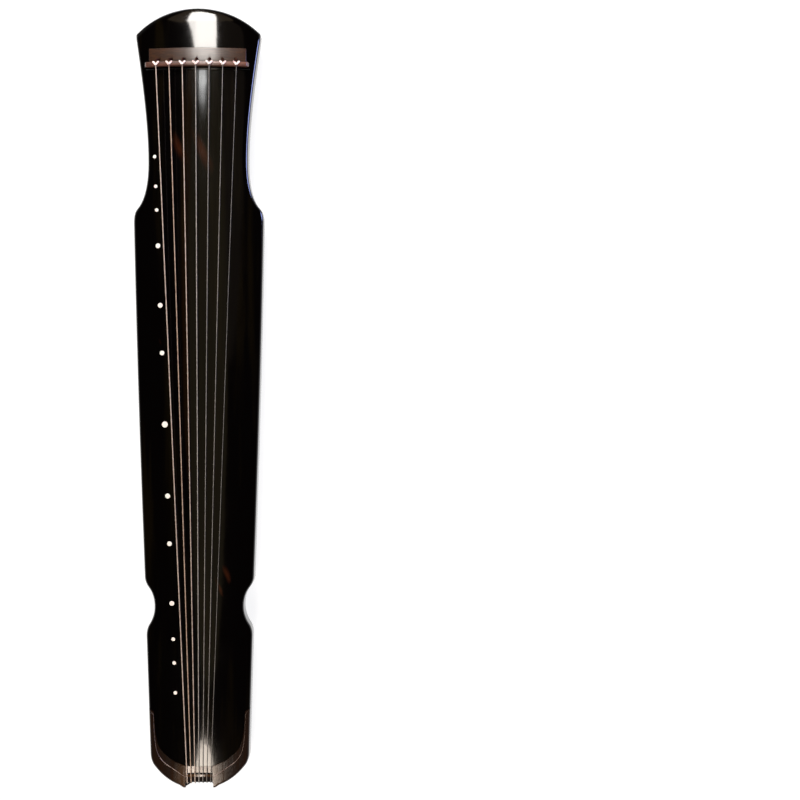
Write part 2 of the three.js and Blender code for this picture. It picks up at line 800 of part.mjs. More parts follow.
function makeSilkLoops() {
  indices.forEach((i) => {
    const y = pegY[i];
    const knotZ = bridgeTopAt(bridgeY[i]);
    const skin = topAt(pegX, y) + seam + stripThickness;
    const points = [
      new THREE.Vector3(loopFaceX, bridgeY[i], knotZ - seam),
      new THREE.Vector3(loopFaceX, bridgeY[i], knotZ - loopBend),
      new THREE.Vector3(loopFaceX + loopBend / 2, (bridgeY[i] + y) / 2, (knotZ + skin) / 2),
      new THREE.Vector3(pegX - seam, y, skin + loopBend),
      new THREE.Vector3(pegX, y, skin),
      new THREE.Vector3(pegX, y, plateBottom),
      new THREE.Vector3(pegX, y, pegTop - pegCollarHeight - silkDiameter),
    ];
    addPiece(`silk_loop_${i + 1}`, cordAlong(points, silkDiameter, cordSides), silk);
  });
}

// Free silk tails: each leaves the end of its peg, bends down on to the table,
// lies in slack curves towards the head's front edge and ends in a small knot.
// The lists are the sideways moves from the peg at equal steps of the run.
const tailClear = 0.2;         // between a tail and the table
const tailRest = silkDiameter / 2 + tailClear;
const tailStartUp = 3;
const tailBendRadius = 7;
const tailBendSteps = 4;
const tailStraight = 5;        // from the end of the bend to the first slack point
const tailStep = 6.8;
const tailKnotRadius = 2.9;
const tailSlack = [
  [0, -1, -3, -1, 4, 7, 6, 2],
  [0, 1, 3, 3, 1, -1, 0, 2],
  [0, -1, -3, -5, -5, -3, -1, -2],
  [0, -1, -3, -2, 1, 4, 6, 7],
  [0, -1, 0, 1, -1, -4, -6, -7],
  [0, 1, 4, 7, 8, 7, 6, 7],
  [0, -1, -4, -7, -7, -4, 0, 2],
];

function makeCordTails() {
  const bendX = pegX + tailBendRadius;
  const bendZ = tailRest + tailBendRadius;
  indices.forEach((i) => {
    const y = pegY[i];
    const points = [new THREE.Vector3(pegX, y, pegBottom + tailStartUp)];
    for (let k = 0; k <= tailBendSteps; k += 1) {
      const angle = (Math.PI / 2) * (k / tailBendSteps);
      points.push(new THREE.Vector3(bendX - tailBendRadius * Math.cos(angle), y,
        bendZ - tailBendRadius * Math.sin(angle)));
    }
    tailSlack[i].forEach((aside, k) => points.push(
      new THREE.Vector3(bendX + tailStraight + k * tailStep, y + aside, tailRest)));
    const end = points.at(-1);
    const knot = new THREE.SphereGeometry(tailKnotRadius, cordSides, turnSides);
    knot.rotateX(Math.PI / 2).translate(end.x, end.y, tailKnotRadius + tailClear);
    const tail = solidOf(cordAlong(points, silkDiameter, cordSides)).add(solidOf(knot));
    addPiece(`cord_tail_${i + 1}`, tail, silk);
  });
}

function makePegGuards() {
  const sides = pegSides;
  const levels = [[feetHeight - seam, 1], [feetHeight / 2, (1 + guardFootShare) / 2],
    [lowerEdgeRound / 2, guardFootShare], [0, guardFootShare * guardFootShare]];
  for (const [name, side] of [['far', 1], ['near', -1]]) {
    const rings = levels.map(([z, share]) => Array.from({ length: sides }, (_, i) => {
      const angle = (2 * Math.PI * (i + 0.5)) / sides;
      const bulge = (value) => Math.sign(value) * Math.abs(value) ** guardRoundPowerShare;
      const x = bulge(Math.cos(angle)) * (guardLength / 2) * share;
      const y = bulge(Math.sin(angle)) * (guardWidth / 2) * share;
      return new THREE.Vector3(x, y, z);
    }));
    addPiece(`peg_guard_${name}`, loft(rings), lacquer).position.set(guardX, side * guardY, 0);
  }
}

function makeGooseFeet() {
  const ballHeight = feetHeight - footNeckHeight;
  const profile = [
    [0, feetHeight - seam + footStemLength],
    [footStemRadius, feetHeight - seam + footStemLength],
    [footStemRadius, feetHeight - seam],
    [footNeckRadius, feetHeight - seam],
    [footNeckRadius, ballHeight],
    [footBallRadius * 0.86, ballHeight * 0.82],
    [footBallRadius, ballHeight * 0.5],
    [footBallRadius * 0.92, ballHeight * 0.22],
    [footFlatRadius, 0],
    [footFlatRadius * 0.7, 0],
    [footFlatRadius * 0.6, footRingDepth],
    [footFlatRadius * 0.35, footRingDepth],
    [footFlatRadius * 0.25, 0],
    [0, 0],
  ].map(([r, z]) => new THREE.Vector2(r, z));
  for (const [name, side] of [['far', 1], ['near', -1]]) {
    const foot = new THREE.LatheGeometry(profile.toReversed(), latheSides).rotateX(Math.PI / 2);
    addPiece(`goose_foot_${name}`, foot, ebony).position.set(footX, side * footY, 0);
  }
}

// Tail: hardwood corners, nut, lower saddle and the two plates under the tail
const nutTop = crownAt(nutX) + nutRise;
const saddleBottom = feetHeight - saddleDrop;

function makeTail() {
  const outer = prism(bandShape(), nutSeat + seam, crownHeight + overrun);
  const whole = prism(cornerShape(0), nutSeat + seam, crownHeight + overrun);
  const notch = notchForm();
  const raised = bodyForm(boardBottom, cornerRise).intersect(outer);
  const corner = bodyForm(boardBottom).intersect(whole)
    .add(raised.intersect(whole)).subtract(notch);
  addPiece('tail_corner_far', corner, hardwood);
  addPiece('tail_corner_near', mirrored(corner), hardwood);

  const nut = new THREE.Shape();
  const plateZ = topAt(nutX + nutLength, nutWidth / 2);
  nut.moveTo(nutX, nutSeat + seam);
  nut.lineTo(nutX + nutLength, nutSeat + seam);
  nut.lineTo(nutX + nutLength, plateZ);
  nut.lineTo(nutX + nutRidge + nutRise, plateZ);
  nut.lineTo(nutX + nutRidge, nutTop);
  nut.absarc(nutX + nutRound, nutTop - nutRound, nutRound, Math.PI / 2, Math.PI, false);
  addPiece('tail_nut', crossBar(nut, nutWidth / 2), hardwood);

  const saddle = new THREE.Shape();
  saddle.moveTo(nutX, backTop - seam);
  saddle.absarc(nutX + nutRound, saddleBottom + nutRound, nutRound, Math.PI, 1.5 * Math.PI, false);
  saddle.lineTo(nutX + saddleLength, saddleBottom);
  saddle.lineTo(nutX + saddleLength, backTop - seam);
  addPiece('under_tail_saddle', crossBar(saddle, saddleWidth / 2), hardwood);

  const plate = new THREE.Shape();
  const length = tailPlateHeadX - tailPlateTailX;
  const along = (share) => tailPlateHeadX - share * length;
  const reach = halfWidthAt(tailPlateHeadX) - tailPlateRim - tailPlateInner;
  const out = (share) => tailPlateInner + share * reach;
  plate.moveTo(along(1), out(0));
  plate.lineTo(along(0.15), out(0));
  plate.quadraticCurveTo(along(0), out(0.06), along(0.04), out(0.16));
  plate.quadraticCurveTo(along(0.36), out(0.38), along(0.2), out(0.6));
  plate.quadraticCurveTo(along(0.08), out(0.8), along(0.12), out(1));
  plate.quadraticCurveTo(along(0.5), out(0.9), along(0.8), out(0.45));
  plate.lineTo(along(1), out(0.14));
  const slab = prism(plate, feetHeight - seam - tailPlateThickness, feetHeight - seam, 5);
  addPiece('tail_plate_far', slab, hardwood);
  addPiece('tail_plate_near', mirrored(slab), hardwood);
}

// The tangent point on a circle for a line from a place outside it. The string
// passes on the side away from the middle of the body.
function tangentAngle(from, centre, radius, way) {
  const dx = from.x - centre.x;
  const dy = from.y - centre.y;
  return Math.atan2(dy, dx) - way * Math.acos(radius / Math.hypot(dx, dy));
}

// Each string runs from its knot on the bridge, over the nut, down the tail end,
// under the saddle and back along the underside to a foot, and ends in turns.
function stringRoute(i) {
  const radius = stringDiameters[i] / 2;
  const off = seam + radius;
  const far = i < farStringCount;
  const side = far ? 1 : -1;
  const order = far ? i : stringCount - 1 - i;
  const inBundle = far ? farStringCount : stringCount - farStringCount;
  const saddleY = side * (bundleY + ((inBundle - 1) / 2 - order) * bundleSpacing);
  const start = new THREE.Vector3(bridgeX, bridgeY[i], bridgeTopAt(bridgeY[i]) + off);
  const points = [start];
  const bend = nutRound + off;
  const quarter = [0, 1 / 3, 2 / 3, 1].map((share) => (share * Math.PI) / 2);
  for (const angle of quarter) {
    points.push(new THREE.Vector3(nutX + nutRound - bend * Math.sin(angle), nutY[i],
      nutTop - nutRound + bend * Math.cos(angle)));
  }
  for (const angle of quarter) {
    points.push(new THREE.Vector3(nutX + nutRound - bend * Math.cos(angle), saddleY,
      saddleBottom + nutRound - bend * Math.sin(angle)));
  }
  points.push(new THREE.Vector3(nutX + saddleLength, saddleY, saddleBottom - off));
  const pitch = stringDiameters[i] + stringGap;
  let level = feetHeight - stringGap - seam;
  const ahead = indices.filter((k) => (k < farStringCount) === far
    && (far ? k < i : k > i));
  for (const k of ahead) {
    const thick = stringDiameters[k] + stringGap;
    level -= (footTurns + 1) * thick;
  }
  const centre = new THREE.Vector3(footX, side * footY, 0);
  const wound = footNeckRadius + off;
  const from = points.at(-1);
  const first = tangentAngle(from, centre, wound, side);
  points.push(...turnsRound(centre.x, centre.y, level - radius, wound, first,
    footTurns, pitch, -side));
  return points;
}

function makeStrings() {
  let least = Infinity;
  indices.forEach((i) => {
    const route = stringRoute(i);
    const wound = route.slice(-Math.round(footTurns * turnSteps) - 1);
    least = Math.min(least, leastGap(wound, stringDiameters[i]));
    const string = solidOf(cordAlong(route, stringDiameters[i], stringSides));
    const vertexX = bridgeX - bridgeTop / 2 + knotThickness / 2 + bridgeRound;
    const arm = knotLength - knotThickness;
    const spread = (knotWidth - knotThickness) / 2;
    const knot = [[arm, spread], [0, spread / 4], [0, -spread / 4], [arm, -spread]]
      .map(([along, aside]) => {
        const y = bridgeY[i] + aside;
        const z = bridgeTopAt(y) + seam + knotThickness / 2;
        return new THREE.Vector3(vertexX + along, y, z);
      });
    const tied = string.add(solidOf(cordAlong(knot, knotThickness, cordSides)));
    addPiece(`string_${i + 1}`, tied, wrapped);
  });
  console.log(`string turns on a foot keep ${least.toFixed(2)} mm`);
}

makeSoundboard();
makeBackBoard();
makePosts();
makeBridge();
makeStrip();
makeStuds();
makePegPlate();
makePegs();
makeSilkLoops();
makeCordTails();
makePegGuards();
makeGooseFeet();
makeTail();
makeStrings();

export default guqin;
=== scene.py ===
"""A guqin, the seven-stringed Chinese long zither, dressed for a studio picture.

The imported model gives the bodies. Every piece here is built in millimetres, in
the same frame, and becomes metres when it is finished. +X runs to the head, +Y
to the side with the studs, +Z up.
"""

from __future__ import annotations

import json
import logging
import math
from dataclasses import dataclass, field
from enum import Enum
from typing import Callable, Iterable, Sequence

import bmesh
import bpy
import numpy as np
from mathutils import Matrix, Vector

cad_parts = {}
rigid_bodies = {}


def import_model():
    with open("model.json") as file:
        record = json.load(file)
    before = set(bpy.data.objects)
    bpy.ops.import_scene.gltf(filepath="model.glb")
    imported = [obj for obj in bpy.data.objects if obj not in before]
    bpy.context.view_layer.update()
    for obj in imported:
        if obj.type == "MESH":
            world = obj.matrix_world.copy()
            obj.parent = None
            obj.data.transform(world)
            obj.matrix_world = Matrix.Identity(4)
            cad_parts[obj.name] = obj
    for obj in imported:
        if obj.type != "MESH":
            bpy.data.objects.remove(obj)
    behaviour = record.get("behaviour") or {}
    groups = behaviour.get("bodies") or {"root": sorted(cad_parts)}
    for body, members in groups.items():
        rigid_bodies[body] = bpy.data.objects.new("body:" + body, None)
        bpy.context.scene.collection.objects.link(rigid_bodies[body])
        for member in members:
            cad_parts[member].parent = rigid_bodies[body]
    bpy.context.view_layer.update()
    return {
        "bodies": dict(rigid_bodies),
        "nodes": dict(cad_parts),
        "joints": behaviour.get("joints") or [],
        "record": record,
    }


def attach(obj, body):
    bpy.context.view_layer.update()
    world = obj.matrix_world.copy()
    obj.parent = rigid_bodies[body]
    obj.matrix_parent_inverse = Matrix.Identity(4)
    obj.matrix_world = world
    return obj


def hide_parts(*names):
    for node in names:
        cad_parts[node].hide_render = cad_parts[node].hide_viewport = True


log = logging.getLogger("guqin")

MM = 0.001
SEAM = 0.3  # between neighbouring solids
OVERRUN = 5.0  # how far a cutter passes what it cuts
ABOVE = 90.0  # a height above the body's face
STRING_COUNT = 7
TURN = 2 * math.pi
BODY = "instrument"  # what all but the pegs ride on

Point = tuple[float, float, float]
Plan = tuple[float, float]


class Side(Enum):
    """The two long sides of the instrument."""

    FAR = 1
    NEAR = -1

    @property
    def label(self) -> str:
        """The side's name in lower case, as the nodes use it."""
        return self.name.lower()


class Slot(Enum):
    """The record's material slots."""

    LACQUER = "lacquer"
    HARDWOOD = "hardwood"
    ROSEWOOD = "rosewood"
    PALE_WOOD = "pale_wood"
    EBONY = "ebony"
    SILK = "silk"
    SHELL = "shell"
    STRING = "string"


# Mesh work


class Bench:
    """The mesh jobs that every sub-assembly uses. All lengths are millimetres."""

    MERGE = 0.0005

    @staticmethod
    def quarter(steps: int) -> list[float]:
        """The angles of a quarter turn from nought, in radians."""
        return [TURN / 4 * step / steps for step in range(steps + 1)]

    @staticmethod
    def circle(place: Plan, radius: float, z: float, count: int) -> list[Point]:
        """The points of a level circle."""
        return [(place[0] + radius * math.cos(a), place[1] + radius * math.sin(a), z)
                for a in np.linspace(0, TURN, count, endpoint=False)]

    @staticmethod
    def along(line: np.ndarray) -> np.ndarray:
        """How far along a line each of its points is."""
        return np.r_[0, np.cumsum(np.linalg.norm(np.diff(line, axis=0), axis=1))]

    @staticmethod
    def resampled(line: Sequence[Sequence[float]], count: int) -> np.ndarray:
        """A line again, with a number of points at equal distances.

        Args:
            line: The line's points.
            count: How many points it gets.

        Returns:
            The new points, one row each.
        """
        given = np.array(line, float)
        along = Bench.along(given)
        at = np.linspace(0, along[-1], count)
        return np.stack([np.interp(at, along, column) for column in given.T], axis=1)

    @staticmethod
    def cleaned(bm: bmesh.types.BMesh, merge: float = 0.0) -> bmesh.types.BMesh:
        """Merges vertices within a length of each other and turns every face outward.

        Args:
            bm: The mesh.
            merge: The length, or nought to merge none.

        Returns:
            The same mesh.
        """
        if merge:
            bmesh.ops.remove_doubles(bm, verts=list(bm.verts), dist=merge)
        bmesh.ops.recalc_face_normals(bm, faces=list(bm.faces))
        return bm

    @staticmethod
    def moved(bm: bmesh.types.BMesh, way: Sequence[float]) -> bmesh.types.BMesh:
        """Moves a whole mesh."""
        bmesh.ops.translate(bm, vec=way, verts=list(bm.verts))
        return bm

    @staticmethod
    def grid(rows: int, columns: int) -> tuple[bmesh.types.BMesh, list[tuple[int, int]]]:
        """A sheet of squares.

        Args:
            rows: How many vertices it has along X.
            columns: How many it has along Y.

        Returns:
            The sheet, and the row and column of each of its vertices.
        """
        bm = bmesh.new()
        bmesh.ops.create_grid(bm, x_segments=rows - 1, y_segments=columns - 1, size=1)
        return bm, [(round((vert.co.x + 1) / 2 * (rows - 1)),
                     round((vert.co.y + 1) / 2 * (columns - 1))) for vert in bm.verts]

    @staticmethod
    def extruded(bm: bmesh.types.BMesh) -> list[bmesh.types.BMVert]:
        """Extrudes all of a sheet's faces and gives the new vertices."""
        made = bmesh.ops.extrude_face_region(bm, geom=list(bm.faces))["geom"]
        return [item for item in made if isinstance(item, bmesh.types.BMVert)]

    @staticmethod
    def shown(name: str, data: bpy.types.ID) -> bpy.types.Object:
        """Puts a mesh, a lamp or a camera into the scene as an object.

        Args:
            name: The object's name.
            data: What it shows.

        Returns:
            The object.
        """
        obj = bpy.data.objects.new(name, data)
        bpy.context.scene.collection.objects.link(obj)
        return obj

    @staticmethod
    def discard(obj: bpy.types.Object) -> None:
        """Removes an object and its mesh.

        Args:
            obj: The object.
        """
        mesh = obj.data
        bpy.data.objects.remove(obj)
        bpy.data.meshes.remove(mesh)

    @staticmethod
    def quadratic(start: Plan, pull: Plan, end: Plan, steps: int) -> list[Plan]:
        """Points of a quadratic curve, without its last one.

        Args:
            start: Where the curve starts.
            pull: Its control point.
            end: Where it ends.
            steps: How many steps it has.

        Returns:
            The points from the start up to the step before the end.
        """
        made = []
        for step in range(steps):
            t = step / steps
            a, b, c = (1 - t) ** 2, 2 * t * (1 - t), t * t
            made.append((a * start[0] + b * pull[0] + c * end[0],
                         a * start[1] + b * pull[1] + c * end[1]))
        return made

    @staticmethod
    def smooth_line(points: Sequence[Point], per_span: int) -> np.ndarray:
        """A smooth curve through points.

        Args:
            points: The points that it passes through.
            per_span: How many steps it has between two of them.

        Returns:
            The curve's points, one row each.
        """
        given = np.array(points, float)
        padded = np.vstack([2 * given[0] - given[1], given, 2 * given[-1] - given[-2]])
        made = []
        for k in range(1, len(padded) - 2):
            p0, p1, p2, p3 = padded[k - 1:k + 3]
            for step in range(per_span):
                t = step / per_span
                made.append(0.5 * (2 * p1 + (p2 - p0) * t
                                   + (2 * p0 - 5 * p1 + 4 * p2 - p3) * t ** 2
                                   + (3 * p1 - p0 - 3 * p2 + p3) * t ** 3))
        made.append(given[-1])
        return np.array(made)

    @staticmethod
    def loft(rings: Sequence[Sequence[Point]]) -> bmesh.types.BMesh:
        """Extrudes a first ring through the others.

        Args:
            rings: Rings of the same number of points, in order.

        Returns:
            The closed solid.
        """
        bm = bmesh.new()
        order = bm.verts.layers.int.new("order")
        first = [bm.verts.new(point) for point in rings[0]]
        for place, vert in enumerate(first):
            vert[order] = place
        face = bm.faces.new(first)
        for step, ring in enumerate(rings[1:]):
            made = bmesh.ops.extrude_face_region(bm, geom=[face])["geom"]
            if step:
                bmesh.ops.delete(bm, geom=[face], context="FACES_ONLY")
            for vert in (item for item in made if isinstance(item, bmesh.types.BMVert)):
                vert.co = ring[vert[order]]
            face = next(item for item in made if isinstance(item, bmesh.types.BMFace))
        return Bench.cleaned(bm)

    @staticmethod
    def prism(outline: Sequence[Plan], low: float, high: float) -> bmesh.types.BMesh:
        """A plan outline raised between two heights.

        Args:
            outline: The plan outline's points.
            low: The height of its underside.
            high: The height of its top.

        Returns:
            The closed solid.
        """
        return Bench.loft([[(x, y, z) for x, y in outline] for z in (low, high)])

    @staticmethod
    def turned(profile: Sequence[Plan], steps: int) -> bmesh.types.BMesh:
        """Spins a profile of radius and height about the upright axis.

        Args:
            profile: Radius and height of each point.
            steps: How many steps the full turn has.

        Returns:
            The turned solid.
        """
        bm = bmesh.new()
        verts = [bm.verts.new((radius, 0, z)) for radius, z in profile]
        edges = [bm.edges.new(pair) for pair in zip(verts, verts[1:])]
        bmesh.ops.spin(bm, geom=verts + edges, cent=(0, 0, 0), axis=(0, 0, 1),
                       dvec=(0, 0, 0), angle=TURN, steps=steps, use_merge=True)
        return Bench.cleaned(bm, Bench.MERGE)

    @staticmethod
    def block(low: Point, high: Point) -> bmesh.types.BMesh:
        """A box between two corners, used as a cutter.

        Args:
            low: Its lowest corner.
            high: Its highest corner.

        Returns:
            The box.
        """
        bm = bmesh.new()
        bmesh.ops.create_cube(bm, size=1)
        size = [b - a for a, b in zip(low, high)]
        middle = [(a + b) / 2 for a, b in zip(low, high)]
        bmesh.ops.scale(bm, vec=size, verts=list(bm.verts))
        return Bench.moved(bm, middle)

    @staticmethod
    def rod(place: Plan, low: float, high: float, radius: float,
            sides: int = 32) -> bmesh.types.BMesh:
        """An upright rod.

        Args:
            place: Its middle in plan.
            low: The height of its lower end.
            high: The height of its upper end.
            radius: Its radius.
            sides: How many sides it has.

        Returns:
            The closed rod.
        """
        bm = bmesh.new()
        bmesh.ops.create_cone(bm, cap_ends=True, segments=sides, radius1=radius,
                              radius2=radius, depth=high - low)
        return Bench.moved(bm, (*place, (low + high) / 2))

    @staticmethod
    def tube(points: np.ndarray, radius: float, roundness: int = 3,
             closed: bool = False) -> bmesh.types.BMesh:
        """A round tube along a line.

        Args:
            points: The line's points.
            radius: The tube's radius.
            roundness: The curve's bevel resolution.
            closed: Whether the line is a loop.

        Returns:
            The closed tube.
        """
        curve = bpy.data.curves.new("tube", "CURVE")
        curve.dimensions = "3D"
        curve.bevel_depth = radius
        curve.bevel_resolution = roundness
        curve.use_fill_caps = not closed
        spline = curve.splines.new("POLY")
        spline.points.add(len(points) - 1)
        spline.points.foreach_set("co", np.c_[points, np.ones(len(points))].ravel())
        spline.use_cyclic_u = closed
        holder = bpy.data.objects.new("tube", curve)
        mesh = bpy.data.meshes.new_from_object(holder)
        bm = bmesh.new()
        bm.from_mesh(mesh)
        bpy.data.objects.remove(holder)
        bpy.data.curves.remove(curve)
        bpy.data.meshes.remove(mesh)
        return Bench.cleaned(bm, Bench.MERGE)

    @staticmethod
    def joined(parts: Iterable[bmesh.types.BMesh],
               materials: Sequence[int] | None = None) -> bmesh.types.BMesh:
        """Puts several meshes into one.

        Args:
            parts: The meshes, which are freed.
            materials: The material index of each, or None for the first.

        Returns:
            One mesh that holds them all.
        """
        whole = bmesh.new()
        for place, part in enumerate(parts):
            for face in part.faces:
                face.material_index = materials[place] if materials else 0
            carrier = bpy.data.meshes.new("carrier")
            part.to_mesh(carrier)
            part.free()
            whole.from_mesh(carrier)
            bpy.data.meshes.remove(carrier)
        return whole

    @staticmethod
    def piece(name: str, bm: bmesh.types.BMesh, materials: Sequence[bpy.types.Material],
              sharp: float = 35.0) -> bpy.types.Object:
        """Turns a mesh in millimetres into a piece in metres.

        Args:
            name: The piece's name.
            bm: Its mesh, which is freed.
            materials: Its materials, in the order of its faces' indices.
            sharp: The angle in degrees past which an edge is sharp.

        Returns:
            The piece.
        """
        bmesh.ops.scale(bm, vec=(MM, MM, MM), verts=list(bm.verts))
        mesh = bpy.data.meshes.new(name)
        bm.to_mesh(mesh)
        bm.free()
        for material in materials:
            mesh.materials.append(material)
        obj = Bench.shown(name, mesh)
        Bench.shade(obj, sharp)
        return obj

    @staticmethod
    def shade(obj: bpy.types.Object, sharp: float = 35.0) -> None:
        """Shades a piece smooth, with sharp edges past an angle in degrees.

        Args:
            obj: The piece.
            sharp: The angle.
        """
        mesh = obj.data
        mesh.polygons.foreach_set("use_smooth", [True] * len(mesh.polygons))
        mesh.set_sharp_from_angle(angle=math.radians(sharp))
        mesh.update()

    @staticmethod
    def settle(obj: bpy.types.Object) -> None:
        """Makes what a piece's modifiers give its own mesh.

        Args:
            obj: The piece.
        """
        shown = obj.evaluated_get(bpy.context.evaluated_depsgraph_get())
        mesh = bpy.data.meshes.new_from_object(shown)
        old, name = obj.data, obj.data.name
        obj.modifiers.clear()
        obj.data = mesh
        bpy.data.meshes.remove(old)
        mesh.name = name

    @staticmethod
    def carve(obj: bpy.types.Object, cutter: bmesh.types.BMesh,
              lining: bpy.types.Material | None = None) -> None:
        """Cuts a mesh out of a piece.

        Args:
            obj: The piece.
            cutter: What is cut out, in millimetres, which is freed.
            lining: The material of the cut faces, or None for the piece's own.
        """
        bmesh.ops.recalc_face_normals(cutter, faces=list(cutter.faces))
        own = obj.data.materials[0]
        tool = Bench.piece("cutter", cutter, [lining or own])
        step = obj.modifiers.new("cut", "BOOLEAN")
        step.operation = "DIFFERENCE"
        step.solver = "EXACT"
        step.material_mode = "TRANSFER"
        step.object = tool
        Bench.settle(obj)
        Bench.discard(tool)

    @staticmethod
    def slot_outline(x0: float, x1: float, half: float, corner: float, grow: float = 0.0,
                     steps: int = 7) -> list[Plan]:
        """A slot with round corners about the middle line.

        Args:
            x0: Where it starts along the body.
            x1: Where it ends.
            half: Half its width.
            corner: The radius of its corners.
            grow: How much larger it is made all round.
            steps: How many steps each corner has.

        Returns:
            The outline's points.
        """
        places = ((x1 - corner, half - corner, 0), (x0 + corner, half - corner, 1),
                  (x0 + corner, corner - half, 2), (x1 - corner, corner - half, 3))
        made = []
        for x, y, quarter in places:
            for step in range(steps + 1):
                angle = TURN / 4 * (quarter + step / steps)
                made.append((x + (corner + grow) * math.cos(angle),
                             y + (corner + grow) * math.sin(angle)))
        return made


def dress(obj: bpy.types.Object, body: str, slot: Slot, *nodes: str) -> bpy.types.Object:
    """Lets a piece ride on a body in place of its nodes.

    Args:
        obj: The piece.
        body: The body that it rides on.
        slot: Not used.
        nodes: The nodes that it stands for.

    Returns:
        The piece.
    """
    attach(obj, body)
    if nodes:
        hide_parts(*nodes)
    log.info("%s: %d faces", obj.name, len(obj.data.polygons))
    return obj


# Finishes


class NodeDesk:
    """Short words for the nodes of a material, a group or the sky."""

    def __init__(self, tree: bpy.types.NodeTree) -> None:
        """Keeps the tree that the nodes go into."""
        self.tree = tree

    def fill(self, node: bpy.types.Node, inputs: dict) -> None:
        """Links or sets some of a node's inputs, by name or number.

        Args:
            node: The node.
            inputs: A socket or a value for each input.
        """
        for key, value in inputs.items():
            if isinstance(value, bpy.types.NodeSocket):
                self.tree.links.new(value, node.inputs[key])
            else:
                node.inputs[key].default_value = value

    def add(self, kind: str, inputs: dict | None = None, **options: object) -> bpy.types.Node:
        """Places a node.

        Args:
            kind: Its type, without the first word.
            inputs: What it is given, by input.
            options: Its own settings.

        Returns:
            The node.
        """
        node = self.tree.nodes.new(f"ShaderNode{kind}")
        for key, value in options.items():
            setattr(node, key, value)
        self.fill(node, inputs or {})
        return node

    def place(self) -> bpy.types.NodeSocket:
        """The object's own coordinates, in metres."""
        return self.add("TexCoord").outputs["Object"]

    def stretched(self, vector: object, along: object, across: object) -> bpy.types.NodeSocket:
        """Scales a vector by one number along X and another along Y and Z.

        Args:
            vector: The vector.
            along: Its scale along X.
            across: Its scale along Y and Z.

        Returns:
            The scaled vector.
        """
        scale = self.add("CombineXYZ", {"X": along, "Y": across, "Z": across})
        return self.add("VectorMath", {0: vector, 1: scale.outputs["Vector"]},
                        operation="MULTIPLY").outputs["Vector"]

    def turned(self, vector: object, degrees: Point) -> bpy.types.NodeSocket:
        """Turns a vector by angles in degrees about X, Y and Z.

        Args:
            vector: The vector.
            degrees: The angles.

        Returns:
            The turned vector.
        """
        angles = [math.radians(value) for value in degrees]
        return self.add("Mapping", {"Rotation": angles, "Vector": vector},
                        vector_type="POINT").outputs["Vector"]

    def noise(self, vector: object, detail: float, rough: float, scale: object = 1.0,
              distortion: float = 0.0) -> bpy.types.NodeSocket:
        """A noise value from 0 to 1.

        Args:
            vector: Where it is read.
            detail: How many octaves it has.
            rough: How strong the fine octaves are.
            scale: How fine it is.
            distortion: How much it is warped.

        Returns:
            The noise.
        """
        return self.add("TexNoise", {
            "Vector": vector, "Scale": scale, "Detail": detail, "Roughness": rough,
            "Distortion": distortion}).outputs["Fac"]

    def group(self, group: bpy.types.NodeTree, vector: object,
              **values: float) -> bpy.types.bpy_prop_collection:
        """Places a shared group with its values, with _ for a space, and gives its outputs."""
        inputs = {key.replace("_", " "): value for key, value in values.items()}
        return self.add("Group", {"Vector": vector, **inputs}, node_tree=group).outputs

    def span(self, value: object, low: float, high: float, to_low: float = 0.0,
             to_high: float = 1.0) -> bpy.types.NodeSocket:
        """Maps a value from one range to another, smoothly and clamped.

        Args:
            value: The value.
            low: Where its range starts.
            high: Where it ends.
            to_low: What the start becomes.
            to_high: What the end becomes.

        Returns:
            The mapped value.
        """
        return self.add("MapRange", {
            "Value": value, "From Min": low, "From Max": high, "To Min": to_low,
            "To Max": to_high}, interpolation_type="SMOOTHSTEP").outputs["Result"]

    def maths(self, kind: str, first: object, second: object) -> bpy.types.NodeSocket:
        """One step of arithmetic on two values."""
        return self.add("Math", {0: first, 1: second}, operation=kind).outputs["Value"]

    def blend(self, share: object, first: object, second: object) -> bpy.types.NodeSocket:
        """Mixes two colours by a share from 0 to 1."""
        return self.add("Mix", {"Factor": share, 6: first, 7: second},
                        data_type="RGBA").outputs[2]

    def distance(self, vector: object, point: Point) -> bpy.types.NodeSocket:
        """How far a place is from a fixed point, in metres."""
        return self.add("VectorMath", {0: vector, 1: point},
                        operation="DISTANCE").outputs["Value"]

    def relief(self, height: object, strength: float, depth: float) -> bpy.types.NodeSocket:
        """A normal bumped by a height from 0 to 1, with its depth in metres."""
        return self.add("Bump", {"Strength": strength, "Distance": depth,
                                 "Height": height}).outputs["Normal"]


